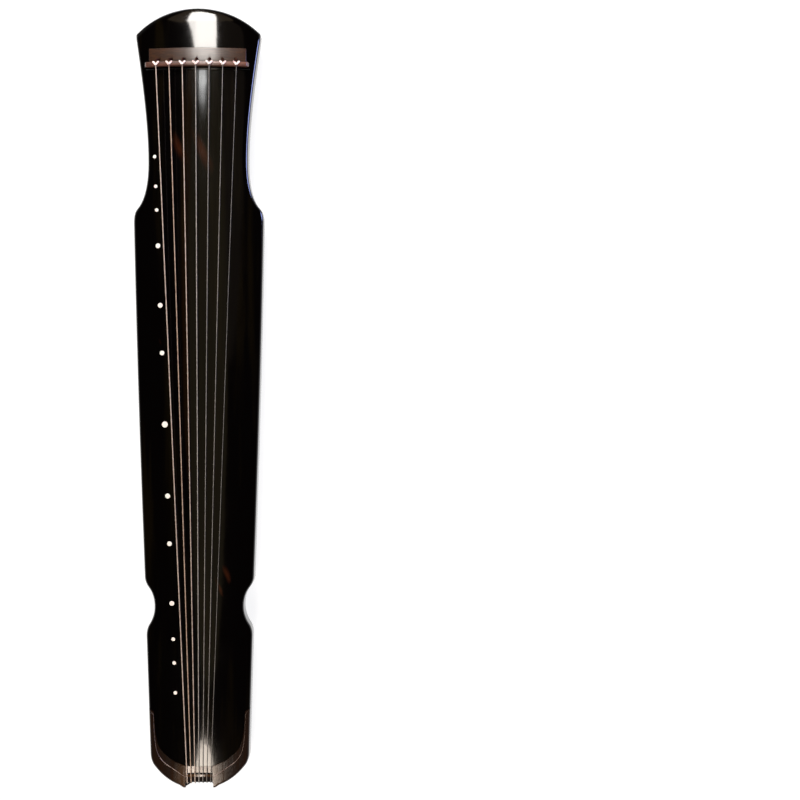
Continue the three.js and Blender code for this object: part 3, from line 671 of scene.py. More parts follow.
class Effects:
    """Node groups that more than one finish uses. They put out masks and values only."""

    def __init__(self) -> None:
        """Builds each group once."""
        self.grain = self._grain()
        self.cloudy = self._cloudy()

    @staticmethod
    def _group(name: str, inputs: dict[str, float], outputs: Sequence[str]) -> tuple:
        """Starts a group with its named sockets.

        Args:
            name: The group's name.
            inputs: Each input's name and usual value.
            outputs: The names of its outputs.

        Returns:
            The group's desk, what it is given and its output node.
        """
        group = bpy.data.node_groups.new(name, "ShaderNodeTree")
        vector = group.interface.new_socket("Vector", in_out="INPUT",
                                            socket_type="NodeSocketVector")
        vector.hide_value = True
        for key, value in inputs.items():
            made = group.interface.new_socket(key, in_out="INPUT",
                                              socket_type="NodeSocketFloat")
            made.default_value = value
        for key in outputs:
            group.interface.new_socket(key, in_out="OUTPUT", socket_type="NodeSocketFloat")
        given, out = group.nodes.new("NodeGroupInput"), group.nodes.new("NodeGroupOutput")
        return NodeDesk(group), given.outputs, out

    def _grain(self) -> bpy.types.NodeTree:
        """Long wood grain: a slow figure and fine pores, with the length along X.

        Returns:
            The group.
        """
        inputs = {"Length": 4.0, "Width": 120.0, "Pore Length": 40.0, "Pore Width": 2200.0}
        desk, given, out = self._group("wood grain", inputs, ("Figure", "Pores"))
        figure = desk.stretched(given["Vector"], given["Length"], given["Width"])
        pores = desk.stretched(given["Vector"], given["Pore Length"], given["Pore Width"])
        desk.fill(out, {"Figure": desk.noise(figure, 6.0, 0.62, distortion=0.6),
                        "Pores": desk.noise(pores, 3.0, 0.5)})
        return desk.tree

    def _cloudy(self) -> bpy.types.NodeTree:
        """Soft clouds with a fine speckle, for uneven polish and handling.

        Returns:
            The group.
        """
        inputs = {"Clouds": 14.0, "Speckle": 900.0}
        desk, given, out = self._group("clouds and speckle", inputs, ("Clouds", "Speckle"))
        desk.fill(out, {"Clouds": desk.noise(given["Vector"], 4.0, 0.55, given["Clouds"]),
                        "Speckle": desk.noise(given["Vector"], 2.0, 0.5, given["Speckle"])})
        return desk.tree


Colour = tuple[float, float, float, float]


def colour(code: str) -> Colour:
    """A linear colour from a hex code as it looks on screen.

    Args:
        code: Six hex digits.

    Returns:
        The linear colour.
    """
    def linear(part: str) -> float:
        """One channel's linear value from its two digits."""
        value = int(part, 16) / 255
        return value / 12.92 if value <= 0.04045 else ((value + 0.055) / 1.055) ** 2.4

    return (linear(code[0:2]), linear(code[2:4]), linear(code[4:6]), 1.0)


@dataclass(frozen=True)
class Finish:
    """The values that every finish sets on its shader, and how it is started."""

    name: str
    roughness: float = 0.4
    coat: float = 0.0
    coat_roughness: float = 0.05
    ior: float = 1.5

    def start(self) -> tuple[bpy.types.Material, NodeDesk, bpy.types.Node]:
        """Makes the material with its plain values.

        Returns:
            The material, its desk and its shader.
        """
        material = bpy.data.materials.new(self.name)
        material.use_nodes = True
        shader = material.node_tree.nodes["Principled BSDF"]
        desk = NodeDesk(material.node_tree)
        desk.fill(shader, {"Roughness": self.roughness, "IOR": self.ior,
                           "Coat Weight": self.coat, "Coat Roughness": self.coat_roughness})
        return material, desk, shader


@dataclass(frozen=True)
class Lacquer(Finish):
    """Polished black lacquer over deer-horn ash, with faint red flecks in its depth.

    A blush is a place and the distance at which it has faded. The slant in
    degrees and the thinness make each of them a flame.
    """

    ground: str = "020101"
    warm: str = "090602"
    fleck: str = "2e1408"
    blushes: tuple[tuple[Point, float], ...] = (
        ((0.39, 0.0295, 0.0788), 0.058), ((0.388, -0.0075, 0.0802), 0.07),
        ((-0.277, -0.045, 0.0766), 0.044), ((-0.3, -0.034, 0.078), 0.043))
    core: float = 0.022
    raggedness: float = 0.05
    slant: float = -22.0
    thinness: float = 4.2
    dimples: float = 0.16

    def make(self, effects: Effects) -> bpy.types.Material:
        """Builds the material.

        Args:
            effects: The shared node groups.

        Returns:
            The material.
        """
        material, desk, shader = self.start()
        place = desk.place()
        veins = desk.noise(desk.stretched(place, 2.5, 38.0), 4.0, 0.6)
        ground = desk.blend(desk.span(veins, 0.5, 0.68), colour(self.ground),
                            colour(self.warm))
        slanted = desk.turned(place, (0, 0, self.slant))
        streaks = desk.noise(desk.stretched(slanted, 14.0, 85.0), 3.0, 0.55, distortion=0.3)
        fleck = desk.maths("MAXIMUM", self._flames(desk, slanted, streaks),
                           desk.span(streaks, 0.76, 0.86, 0.0, 0.5))
        clouds = desk.group(effects.cloudy, place, Clouds=9.0, Speckle=1500.0)["Clouds"]
        ripple = desk.noise(desk.stretched(place, 7.0, 16.0), 2.0, 0.5)
        dimples = desk.maths("MULTIPLY", desk.noise(place, 1.0, 0.5, 75.0), self.dimples)
        desk.fill(shader, {
            "Base Color": desk.blend(fleck, ground, colour(self.fleck)),
            "Roughness": desk.span(clouds, 0.3, 0.7, self.roughness - 0.02,
                                   self.roughness + 0.03),
            "Normal": desk.relief(desk.maths("ADD", ripple, dimples), 0.35, 0.0006)})
        return material

    def _flames(self, desk: NodeDesk, slanted: object, streaks: object) -> object:
        """All blushes as one mask: thin flames with ragged edges.

        Args:
            desk: The material's desk.
            slanted: The slanted place.
            streaks: The noise that frays them.

        Returns:
            The mask.
        """
        ragged = desk.maths("MULTIPLY", streaks, self.raggedness)
        thin, mask = desk.stretched(slanted, 1.0, self.thinness), 0.0
        for spot, edge in self.blushes:
            x, y, z = Matrix.Rotation(math.radians(self.slant), 3, "Z") @ Vector(spot)
            reach = desk.distance(thin, (x, self.thinness * y, self.thinness * z))
            flame = desk.span(desk.maths("ADD", reach, ragged), self.core, edge, 1.0, 0.0)
            mask = desk.maths("MAXIMUM", mask, flame)
        return mask


@dataclass(frozen=True)
class Wood(Finish):
    """Planed and rubbed wood with its grain along one direction."""

    light: str = "8a5a44"
    dark: str = "4d2c20"
    turn: Point = (0, 0, 0)
    length: float = 5.0
    width: float = 150.0
    relief: float = 0.25
    # A colour blended in near a point: wear together with painted sheen.
    worn: str = ""
    worn_at: Point = (-0.597, 0.0, 0.078)
    worn_core: float = 0.012
    worn_reach: float = 0.085
    pore_depth: float = 0.35

    def make(self, effects: Effects) -> bpy.types.Material:
        """Builds the material.

        Args:
            effects: The shared node groups.

        Returns:
            The material.
        """
        material, desk, shader = self.start()
        place = desk.turned(desk.place(), self.turn)
        grain = desk.group(effects.grain, place, Length=self.length, Width=self.width)
        pores = desk.span(grain["Pores"], 0.3, 0.55)
        wood = desk.blend(desk.span(grain["Figure"], 0.36, 0.66), colour(self.dark),
                          colour(self.light))
        # Blends in a lighter colour near a point: wear together with painted sheen.
        if self.worn:
            near = desk.span(desk.distance(desk.place(), self.worn_at), self.worn_core,
                             self.worn_reach, 1.0, 0.0)
            wood = desk.blend(near, wood, colour(self.worn))
        dim = desk.blend(self.pore_depth, wood, colour(self.dark))
        desk.fill(shader, {
            "Base Color": desk.blend(pores, dim, wood),
            "Roughness": desk.span(grain["Figure"], 0.3, 0.7, self.roughness + 0.08,
                                   self.roughness - 0.05),
            "Normal": desk.relief(pores, self.relief, 0.0002)})
        return material


@dataclass(frozen=True)
class Fibre(Finish):
    """One ply of twisted silk cord, or the wound cover of a string."""

    light: str = "e2622f"
    dark: str = "a8321a"
    scale: float = 1800.0
    sheen: float = 0.25
    sheen_roughness: float = 0.4

    def make(self, effects: Effects) -> bpy.types.Material:
        """Builds the material.

        Args:
            effects: The shared node groups.

        Returns:
            The material.
        """
        material, desk, shader = self.start()
        place = desk.place()
        clouds = desk.group(effects.cloudy, place, Clouds=260.0, Speckle=self.scale)
        tone = desk.span(clouds["Clouds"], 0.35, 0.65)
        fibres = desk.noise(desk.stretched(place, self.scale, self.scale / 5), 2.0, 0.5)
        desk.fill(shader, {
            "Base Color": desk.blend(tone, colour(self.dark), colour(self.light)),
            "Normal": desk.relief(fibres, 0.5, 0.0001),
            "Sheen Weight": self.sheen, "Sheen Roughness": self.sheen_roughness})
        return material


@dataclass(frozen=True)
class Pearl(Finish):
    """Mother-of-pearl: milky white with soft bands of pink and green."""

    milk: str = "f4f1ea"
    pink: str = "f2dcdc"
    green: str = "dceee6"

    def make(self, effects: Effects) -> bpy.types.Material:
        """Builds the material.

        Args:
            effects: The shared node groups.

        Returns:
            The material.
        """
        material, desk, shader = self.start()
        place = desk.place()
        bands = desk.noise(desk.stretched(place, 160.0, 420.0), 3.0, 0.5, distortion=1.2)
        milk = desk.blend(desk.span(bands, 0.35, 0.5, 1.0, 0.0), colour(self.milk),
                          colour(self.pink))
        speckle = desk.group(effects.cloudy, place, Clouds=300.0, Speckle=2000.0)["Speckle"]
        desk.fill(shader, {
            "Base Color": desk.blend(desk.span(bands, 0.52, 0.68), milk, colour(self.green)),
            "Roughness": desk.span(speckle, 0.3, 0.7, self.roughness - 0.05,
                                   self.roughness + 0.1)})
        return material


class Palette:
    """Every finish of the instrument, made once."""

    STRING_TONES = (("bfae9f", "9a8475"), ("b59c86", "8c725d"), ("a09a92", "7b756e"),
                    ("7f7a73", "615d57"), ("68645e", "4e4b46"))

    def __init__(self) -> None:
        """Builds the shared groups and the materials."""
        effects, across = Effects(), (0, 0, 90)
        self.lacquer = Lacquer("black lacquer", roughness=0.085).make(effects)
        self.rosewood = Wood("rosewood", roughness=0.34, coat=0.3, coat_roughness=0.2,
                             light="6f4638", dark="43271d", turn=across, length=6.0,
                             width=330.0).make(effects)
        self.strip_wood = Wood("strip rosewood", roughness=0.32, coat=0.42,
                               coat_roughness=0.16, ior=1.3, light="3f281a", dark="2e1c12",
                               turn=across, length=9.0, width=420.0,
                               relief=0.1).make(effects)
        # The lighter brown near the nut is wear together with painted sheen from the lamp above
        # the tail.
        self.hardwood = Wood("tail hardwood", roughness=0.15, light="21140c", dark="160d08",
                             length=6.0, width=160.0, relief=0.08, worn="4a3420",
                             worn_reach=0.05).make(effects)
        # Painted highlight: a pale colour on the corners' step faces stands in for the glint of
        # light along the step's edge.
        self.worn_edge = Wood("worn hardwood edge", light="a6948b", dark="5c4a42",
                              length=12.0, relief=0.1).make(effects)
        # Painted shade: near-black wood for the notch walls and for the nut's faces turned from
        # the light.
        self.shadow_wood = Wood("darkened wood", roughness=0.75, ior=1.2, light="150d09",
                                dark="0a0604").make(effects)
        self.plate_wood = Wood("tail plate wood", roughness=0.34, coat=0.4,
                               coat_roughness=0.15, light="b98f78", dark="8a5c46",
                               turn=across, length=8.0, width=120.0).make(effects)
        self.pale_wood = Wood("pale paulownia", roughness=0.6, light="dcb878",
                              dark="b98c4c", length=3.0, width=220.0,
                              relief=0.4).make(effects)
        self.ebony = Wood("ebony", roughness=0.22, coat=0.5, coat_roughness=0.08,
                          light="14100e", dark="070505", turn=(0, 90, 0), length=8.0,
                          width=300.0, relief=0.08).make(effects)
        self.silks = [
            Fibre("orange silk", roughness=0.55).make(effects),
            Fibre("crimson silk", roughness=0.55, light="b93a22",
                  dark="7c1f16").make(effects)]
        self.string_covers = [
            Fibre(f"string cover {light}", roughness=0.38, light=light, dark=dark,
                  scale=3200.0).make(effects) for light, dark in self.STRING_TONES]
        # Painted shade: the silk that runs from the knots past the strip is darkened nearly to
        # the strip's brown, for the shade it lies in under the knots.
        self.worn_silk = Fibre("worn silk", roughness=0.8, ior=1.2, light="43271e",
                               dark="2e1a14", sheen=0.0).make(effects)
        self.knot_string = Fibre("knotted string", roughness=0.5, light="fbf1ec",
                                 dark="e3b9b4", scale=1600.0).make(effects)
        self.pearl = Pearl("mother-of-pearl", roughness=0.22, coat=0.6,
                           coat_roughness=0.06).make(effects)


# The body


@dataclass
class BodyPlan:
    """The plan outline and the arched face, which every piece on them asks."""

    head_tip: float = 610.0
    tail_tip: float = -610.0
    head_arc: float = 141.5
    head_corner: float = 96.5
    head_start: float = math.radians(3)
    arch_radius: float = 300.0
    edge_round: float = 3.4
    side_curves: tuple[tuple[float, ...], ...] = (
        (571, 98, 566, 98), (440, 77.9, 369.5, 77.9), (316, 77.9, 296, 96.5),
        (290.2, 101.9, 275, 101.9), (20, 97, -280, 85.6), (-289.5, 85.6, -298.6, 78.1),
        (-310.5, 69.7, -327, 69.7), (-341, 69.7, -353.5, 77.3), (-361.5, 83, -373, 83),
        (-464.5, 80.15, -556, 77.3))
    side_steps: tuple[int, ...] = (5, 12, 14, 8, 36, 8, 9, 9, 8, 16)
    tail_curves: tuple[tuple[float, ...], ...] = (
        (-571, 77.3, -579.5, 68.5), (-598, 53, -606, 31), (-608, 28, -610, 25))
    crown_points: tuple[Plan, ...] = (
        (610, 70), (552, 78), (330, 80.4), (0, 81), (-430, 79.4), (-610, 76.5))
    edge_steps: tuple[float, ...] = (3.4, 2.4, 1.5, 0.8, 0.3, 0.06, 0.0)
    columns: int = 28
    tail_steps: int = 12
    front_steps: int = 40
    crown_steps: int = 24
    straight: Plan = (-540.0, 500.0)
    end_rows: int = 11

    def __post_init__(self) -> None:
        """Works out the outline's lines once."""
        self.arc_centre = self.head_tip - self.head_arc * math.cos(self.head_start)
        self.front_x = self.arc_centre + math.sqrt(self.head_arc ** 2 - self.head_corner ** 2)
        self.side = self._chain((self.front_x, self.head_corner), self.side_curves,
                                self.side_steps)
        self.tail = self._chain(tuple(self.side[-1]), self.tail_curves,
                                [self.tail_steps] * len(self.tail_curves))
        turns = np.linspace(0, math.asin(self.head_corner / self.head_arc), self.front_steps)
        front = np.c_[self.arc_centre + self.head_arc * np.cos(turns),
                      self.head_arc * np.sin(turns)]
        half = np.vstack([front[:-1], self.side[:-1], self.tail, [(self.tail_tip, 0.0)]])
        self.outline = np.vstack([half, (half * (1, -1))[::-1][1:-1]])
        self.crown_line = self._crown_line()

    @staticmethod
    def _chain(here: Plan, curves: Iterable[Sequence[float]],
               steps: Iterable[int]) -> np.ndarray:
        """Points of quadratic curves that follow on from a first place.

        Args:
            here: The place.
            curves: Each curve's control point and end.
            steps: How many steps each has.

        Returns:
            The points, one row each.
        """
        made: list[Plan] = []
        for (px, py, x, y), count in zip(curves, steps):
            made += Bench.quadratic(here, (px, py), (x, y), count)
            here = (x, y)
        return np.array(made + [here])

    def _crown_line(self) -> np.ndarray:
        """Points of the arch's top line, from the tail to the head.

        Returns:
            The points, one row each.
        """
        given = np.array(self.crown_points, float)
        made = []
        for k in range(len(given) - 1):
            p0, p1 = given[max(k - 1, 0)], given[k]
            p2, p3 = given[k + 1], given[min(k + 2, len(given) - 1)]
            v0, v1 = (p2 - p0) / 2, (p3 - p1) / 2
            for t in np.linspace(0, 1, self.crown_steps, endpoint=False):
                made.append((2 * p1 - 2 * p2 + v0 + v1) * t ** 3
                            + (-3 * p1 + 3 * p2 - 2 * v0 - v1) * t ** 2 + v0 * t + p1)
        return np.array(made + [given[-1]])[::-1]

    def half_width(self, x: float | np.ndarray) -> float | np.ndarray:
        """Half the body's width at a place along it."""
        return np.interp(x, self.side[::-1, 0], self.side[::-1, 1])

    def crown(self, x: float | np.ndarray) -> float | np.ndarray:
        """Height of the arch's top line at a place along the body."""
        return np.interp(x, self.crown_line[:, 0], self.crown_line[:, 1])

    def top(self, x: float | np.ndarray, y: float | np.ndarray) -> float | np.ndarray:
        """Height of the arched face."""
        drop = self.arch_radius - np.sqrt(self.arch_radius ** 2 - np.square(y))
        return self.crown(x) - drop

    def front(self, y: np.ndarray) -> np.ndarray:
        """Where the head's front edge is for a place across the body."""
        return self.arc_centre + np.sqrt(self.head_arc ** 2 - np.square(y))

    def rear(self, y: np.ndarray) -> np.ndarray:
        """Where the tail's edge is for a place across the body."""
        line = self.tail[::-1]
        return np.interp(np.abs(y), line[:, 1], line[:, 0])

    def from_edge(self, places: np.ndarray) -> np.ndarray:
        """Distance of plan places from the outline.

        Args:
            places: One place in a row.

        Returns:
            Each one's distance.
        """
        a = self.outline
        d = np.roll(a, -1, axis=0) - a
        length = np.maximum((d * d).sum(1), 1e-12)
        best = np.full(len(places), np.inf)
        for start, step, size in zip(a, d, length):
            t = np.clip(((places - start) @ step) / size, 0, 1)
            gap = np.linalg.norm(places - start - t[:, None] * step, axis=1)
            best = np.minimum(best, gap)
        return best

    def drop(self, places: np.ndarray, round_by: float) -> np.ndarray:
        """How far a rounded edge falls below the face at plan places."""
        inside = np.clip(round_by - self.from_edge(places), 0, round_by)
        return round_by - np.sqrt(round_by ** 2 - inside ** 2)

    def slab(self, first: Callable[[np.ndarray], np.ndarray],
             second: Callable[[np.ndarray], np.ndarray]) -> bmesh.types.BMesh:
        """A board with the body's outline between two surfaces.

        Args:
            first: The height of the first surface at plan places.
            second: The height of the second.

        Returns:
            The closed board.
        """
        places = self._grid_places()
        rows, columns = places.shape[:2]
        bm, index = Bench.grid(rows, columns)
        flat = np.array([places[key] for key in index])
        heights, others = first(flat), second(flat)
        originals = list(bm.verts)
        for key, vert in enumerate(originals):
            vert.co = (flat[key][0], flat[key][1], key)
        for vert in Bench.extruded(bm):
            vert.co.z = heights[round(vert.co.z)]
        for key, vert in enumerate(originals):
            vert.co.z = others[key]
        return Bench.cleaned(bm)

    def _grid_places(self) -> np.ndarray:
        """Plan places of the board's grid, rows from the tail to the head.

        Returns:
            The places by row and column.
        """
        edge = np.array(self.edge_steps)
        room = float(edge[0])
        shares = np.linspace(0, 1, self.end_rows)
        low, high = self.straight
        rows = [self._tail_row(1.0, float(gap)) for gap in edge[:0:-1]]
        rows += [self._tail_row(float(share), room) for share in shares[::-1]]
        rows += [(lambda v, x=x: x) for x in self.side[::-1, 0] if low + 2 < x < high - 2]
        rows += [self._head_row(float(share), room) for share in shares]
        rows += [self._head_row(1.0, float(gap)) for gap in edge[1:]]
        made = []
        for row in rows:
            half = float(self.half_width(row(1.0)))
            inner = np.linspace(-(half - room), half - room, self.columns + 1)
            across = np.concatenate([-(half - edge[:0:-1]), inner, half - edge[1:]])
            made.append([(row(y / half), y) for y in across])
        return np.array(made)

    def _head_row(self, share: float, gap: float) -> Callable[[float], float]:
        """A grid row that has moved by a share from straight to the head's front edge.

        Args:
            share: The share.
            gap: Its distance from the edge.

        Returns:
            Where the row is, by its share of half the width.
        """
        start = self.straight[1]
        return lambda v: start + share * (
            float(self.front(v * self.head_corner)) - gap - start)

    def _tail_row(self, share: float, gap: float) -> Callable[[float], float]:
        """A grid row that has moved by a share from straight to the tail's edge.

        Args:
            share: The share.
            gap: Its distance from the edge.

        Returns:
            Where the row is, by its share of half the width.
        """
        start = self.straight[0]
        return lambda v: start + share * (
            float(self.rear(v * self.side[-1, 1])) + gap - start)


@dataclass
class Layout:
    """Places, sizes and heights above the table that the pieces share."""

    feet: float = 32.0
    back_top: float = 44.0
    nut_seat: float = 61.0
    bridge_x: float = 519.0
    bridge_height: float = 18.0
    bridge_arch: float = 330.0
    bridge_base: float = 10.0
    bridge_width: float = 7.0
    bridge_round: float = 1.5
    strip_thickness: float = 2.4
    peg_x: float = 528.5
    peg_spacing: float = 20.0
    silk: float = 3.4
    bore: float = 2.2
    goose_foot: Plan = (-274.0, 56.0)
    nut_x: float = -601.0
    nut_round: float = 3.5
    nut_rise: float = 2.6
    nut_width: float = 41.4
    nut_length: float = 25.0
    saddle_width: float = 29.0
    saddle_length: float = 11.0
    saddle_drop: float = 5.0
    string_widths: tuple[float, ...] = (1.6, 1.5, 1.4, 1.3, 1.2, 1.1, 1.0)
    spacing_bridge: float = 20.9
    spacing_nut: float = 6.1

    def from_middle(self, number: int) -> int:
        """How many places a string or peg is from the middle one."""
        return (STRING_COUNT - 1) // 2 - number

    def peg_y(self, number: int) -> float:
        """Where a peg is across the body."""
        return self.from_middle(number) * self.peg_spacing

    def bridge_y(self, number: int) -> float:
        """Where a string crosses the bridge."""
        return self.from_middle(number) * self.spacing_bridge

    def nut_y(self, number: int) -> float:
        """Where a string crosses the nut."""
        return self.from_middle(number) * self.spacing_nut

    def bridge_top(self, plan: BodyPlan, y: float) -> float:
        """Height of the bridge's top, a flatter arch than the body's."""
        drop = self.bridge_arch - math.sqrt(self.bridge_arch ** 2 - y ** 2)
        return float(plan.crown(self.bridge_x)) + self.bridge_height - drop


@dataclass
class Section:
    """What every sub-assembly is built on, and how it finishes its pieces."""

    plan: BodyPlan
    layout: Layout
    palette: Palette

    @staticmethod
    def add(name: str, bm: bmesh.types.BMesh, materials: Sequence[bpy.types.Material],
            slot: Slot, *nodes: str, sharp: float = 40.0,
            body: str = BODY) -> bpy.types.Object:
        """Makes a piece that rides on a body in place of its nodes.

        Args:
            name: Its name.
            bm: Its mesh in millimetres, which is freed.
            materials: Its materials.
            slot: The record's slot of its finish.
            nodes: The nodes that it stands for.
            sharp: The angle in degrees past which its edges are sharp.
            body: The body.

        Returns:
            The piece.
        """
        return dress(Bench.piece(name, bm, materials, sharp), body, slot, *nodes)


@dataclass
class Soundboard(Section):
    """The arched and lacquered face, hollowed inside, with its cuts."""

    studs: "Studs"
    wall: float = 14.0
    thickness: float = 8.0
    chamber: Plan = (-505.0, 455.0)
    pads: tuple[Plan, ...] = ((-31.0, 221.0), (-491.0, -339.0))
    pad_half: float = 24.0
    pad_low: float = 68.0
    columns: int = 21
    clear: float = 4.0

    def build(self) -> None:
        """Builds the board and lets it ride."""
        plan, at = self.plan, self.layout
        bottom = at.back_top + SEAM
        bm = plan.slab(
            lambda spots: plan.top(spots[:, 0], spots[:, 1]) - plan.drop(spots, plan.edge_round),
            lambda spots: np.full(len(spots), bottom))
        board = Bench.piece("arched_soundboard", bm, [self.palette.lacquer])
        Bench.carve(board, self._hollow(), self.palette.pale_wood)
        holes = [Bench.rod((at.peg_x, at.peg_y(k)), bottom - OVERRUN, ABOVE, at.bore)
                 for k in range(STRING_COUNT)]
        Bench.carve(board, Bench.joined(holes + self.studs.pockets()))
        Bench.carve(board, TailWood.recess(plan, at))
        # The notch's cut faces take the darkened wood, painted shade on its walls.
        Bench.carve(board, TailWood.notch(at), self.palette.shadow_wood)
        Bench.shade(board)
        dress(board, BODY, Slot.LACQUER, "soundboard")

    def _hollow(self) -> bmesh.types.BMesh:
        """The sound chamber with its pads left standing, as a cutter.

        Returns:
            The cutter.
        """
        low, high = self.chamber
        stations = [low] + [x for x in self.plan.side[::-1, 0]
                            if low + self.clear < x < high - self.clear] + [high]
        bm, index = Bench.grid(len(stations), self.columns)
        for vert, (row, column) in zip(bm.verts, index):
            x, share = stations[row], 2 * column / (self.columns - 1) - 1
            y = (float(self.plan.half_width(x)) - self.wall) * share
            vert.co = (x, y, float(self.plan.top(x, y)) - self.thickness)
        for vert in Bench.extruded(bm):
            vert.co.z = self.layout.back_top - OVERRUN
        hollow = Bench.piece("hollow", bm, [self.palette.pale_wood])
        Bench.carve(hollow, Bench.joined(
            Bench.block((x0, -self.pad_half, self.pad_low), (x1, self.pad_half, ABOVE))
            for x0, x1 in self.pads))
        cutter = bmesh.new()
        cutter.from_mesh(hollow.data)
        bmesh.ops.scale(cutter, vec=(1 / MM,) * 3, verts=list(cutter.verts))
        Bench.discard(hollow)
        return cutter


@dataclass
class BackBoard(Section):
    """The lacquered back with its sound holes, peg pool, foot sockets and head scoop."""

    edge: float = 3.0
    holes: tuple[Plan, ...] = ((-13.0, 203.0), (-473.0, -357.0))
    hole_half: float = 15.0
    hole_corner: float = 11.5
    pool_half: Plan = (15.0, 71.5)
    pool_corner: float = 9.0
    socket: float = 5.1
    lip: float = 1.1
    lip_steps: int = 5
    scoop_radius: float = 90.0
    scoop_depth: float = 5.5
    scoop_lift: float = 0.4
    scoop_x: float = 578.0
    scoop_half: float = 73.0
    scoop_reach: float = 60.0
    scoop_low: float = 10.0
    scoop_turn: float = 0.5
    scoop_steps: tuple[int, int] = (41, 33)
    scoop_squareness: int = 14

    def build(self) -> None:
        """Builds the board and lets it ride."""
        plan, at, pool = self.plan, self.layout, self.pool_half
        low, high = at.feet, at.back_top
        bm = plan.slab(lambda spots: np.full(len(spots), high),
                       lambda spots: low + plan.drop(spots, self.edge))
        board = Bench.piece("lacquered_back_board", bm, [self.palette.lacquer])
        slots = [self._flared(*hole, self.hole_half, self.hole_corner) for hole in self.holes]
        slots.append(self._flared(at.peg_x - pool[0], at.peg_x + pool[0], pool[1],
                                  self.pool_corner))
        slots += [Bench.rod((at.goose_foot[0], side.value * at.goose_foot[1]), low - OVERRUN,
                            high + OVERRUN, self.socket) for side in Side]
        Bench.carve(board, Bench.joined(slots))
        Bench.carve(board, self._scoop())
        # The notch's cut faces take the darkened wood, painted shade on its walls.
        Bench.carve(board, TailWood.notch(at), self.palette.shadow_wood)
        reach = at.saddle_width / 2 + SEAM
        Bench.carve(board, Bench.block(
            (plan.tail_tip - OVERRUN, -reach, low - OVERRUN),
            (at.nut_x + at.saddle_length + SEAM, reach, high + OVERRUN)))
        Bench.shade(board)
        dress(board, BODY, Slot.LACQUER, "back_board")

    def _flared(self, *slot: float) -> bmesh.types.BMesh:
        """A cutter for a slot whose lower edge is softly rounded.

        Args:
            slot: Where it starts and ends along the body, half its width and the
                radius of its corners.

        Returns:
            The cutter.
        """
        low, lip = self.layout.feet, self.lip
        levels = [(low - 1.0, lip)]
        levels += [(low + lip * (1 - math.cos(a)), lip * (1 - math.sin(a)))
                   for a in Bench.quarter(self.lip_steps)]
        levels.append((self.layout.back_top + OVERRUN, 0.0))
        return Bench.loft([[(x, y, z) for x, y in Bench.slot_outline(*slot, grow)]
                           for z, grow in levels])

    def _scoop(self) -> bmesh.types.BMesh:
        """The hollow across the head's underside, with softly rising ends.

        Returns:
            The cutter.
        """
        rings = []
        radius, x = self.scoop_radius, self.scoop_x
        for share in np.linspace(-1, 1, self.scoop_steps[0]):
            y = float(share * self.scoop_half)
            sink = self.scoop_depth * math.sqrt(
                max(1 - abs(share) ** self.scoop_squareness, 0.0)) - self.scoop_lift
            ring = [(x + radius * math.sin(turn), y,
                     self.layout.feet + sink - radius + radius * math.cos(turn))
                    for turn in np.linspace(-self.scoop_turn, self.scoop_turn,
                                            self.scoop_steps[1])]
            ring += [(x + way * self.scoop_reach, y, self.scoop_low) for way in (1, -1)]
            rings.append(ring)
        return Bench.loft(rings)


@dataclass
class Studs(Section):
    """Thirteen mother-of-pearl studs at the first string's simple fractions."""

    gap: float = 10.0
    gap_tail: float = 13.4
    thickness: float = 1.6
    proud: float = 0.1
    sides: int = 40
    diameters: tuple[float, ...] = (5.6, 5.6, 5.6, 7.6, 7.8, 7.4, 9.4, 8, 7.5, 7.6, 5.8, 5.7,
                                    5.7)
    shares: tuple[float, ...] = (1 / 8, 1 / 6, 1 / 5, 1 / 4, 1 / 3, 2 / 5, 1 / 2,
                                 3 / 5, 2 / 3, 3 / 4, 4 / 5, 5 / 6, 7 / 8)

    def places(self) -> list[tuple[Vector, float, float]]:
        """Where each stud lies on the face.

        Returns:
            A place, a tilt and a radius for each stud.
        """
        at = self.layout
        start = at.bridge_x - at.bridge_width / 2 + at.bridge_round
        first, last = at.bridge_y(0), at.nut_y(0)
        made = []
        for share, wide in zip(self.shares, self.diameters):
            x = start - share * (start - at.nut_x)
            y = first + share * (last - first) + self.gap + share * (self.gap_tail - self.gap)
            tilt = math.asin(y / self.plan.arch_radius)
            made.append((Vector((x, y, float(self.plan.top(x, y)))), tilt, wide / 2))
        return made

    def pockets(self) -> list[bmesh.types.BMesh]:
        """The cutters of their pockets.

        Returns:
            One cutter for each stud.
        """
        return [self._laid(Bench.rod((0, 0), -self.thickness - SEAM, OVERRUN,
                                     radius + SEAM / 2, self.sides), place, tilt)
                for place, tilt, radius in self.places()]

    def build(self) -> None:
        """Builds each stud and lets it ride."""
        for number, (place, tilt, radius) in enumerate(self.places(), start=1):
            profile = ((radius, -self.thickness), (radius, -0.25), (radius - 0.1, -0.08),
                       (radius - 0.3, 0.0), (radius * 0.6, 0.06), (radius * 0.3, 0.09))
            bm = Bench.loft([Bench.circle((0, 0), r, z, self.sides) for r, z in profile])
            self.add(f"pearl_stud_{number}", self._laid(bm, place, tilt, self.proud),
                     [self.palette.pearl], Slot.SHELL, f"stud_{number}", sharp=50)

    @staticmethod
    def _laid(bm: bmesh.types.BMesh, place: Vector, tilt: float,
              up: float = 0.0) -> bmesh.types.BMesh:
        """Lays a disc made at the origin into the arched face.

        Args:
            bm: The disc.
            place: Its place on the face.
            tilt: How far the face leans there.
            up: How far it stands proud.

        Returns:
            The same mesh.
        """
        turn = Matrix.Rotation(-tilt, 4, "X")
        matrix = Matrix.Translation(place) @ turn @ Matrix.Translation((0, 0, up))
        bmesh.ops.transform(bm, matrix=matrix, verts=list(bm.verts))
        return bm


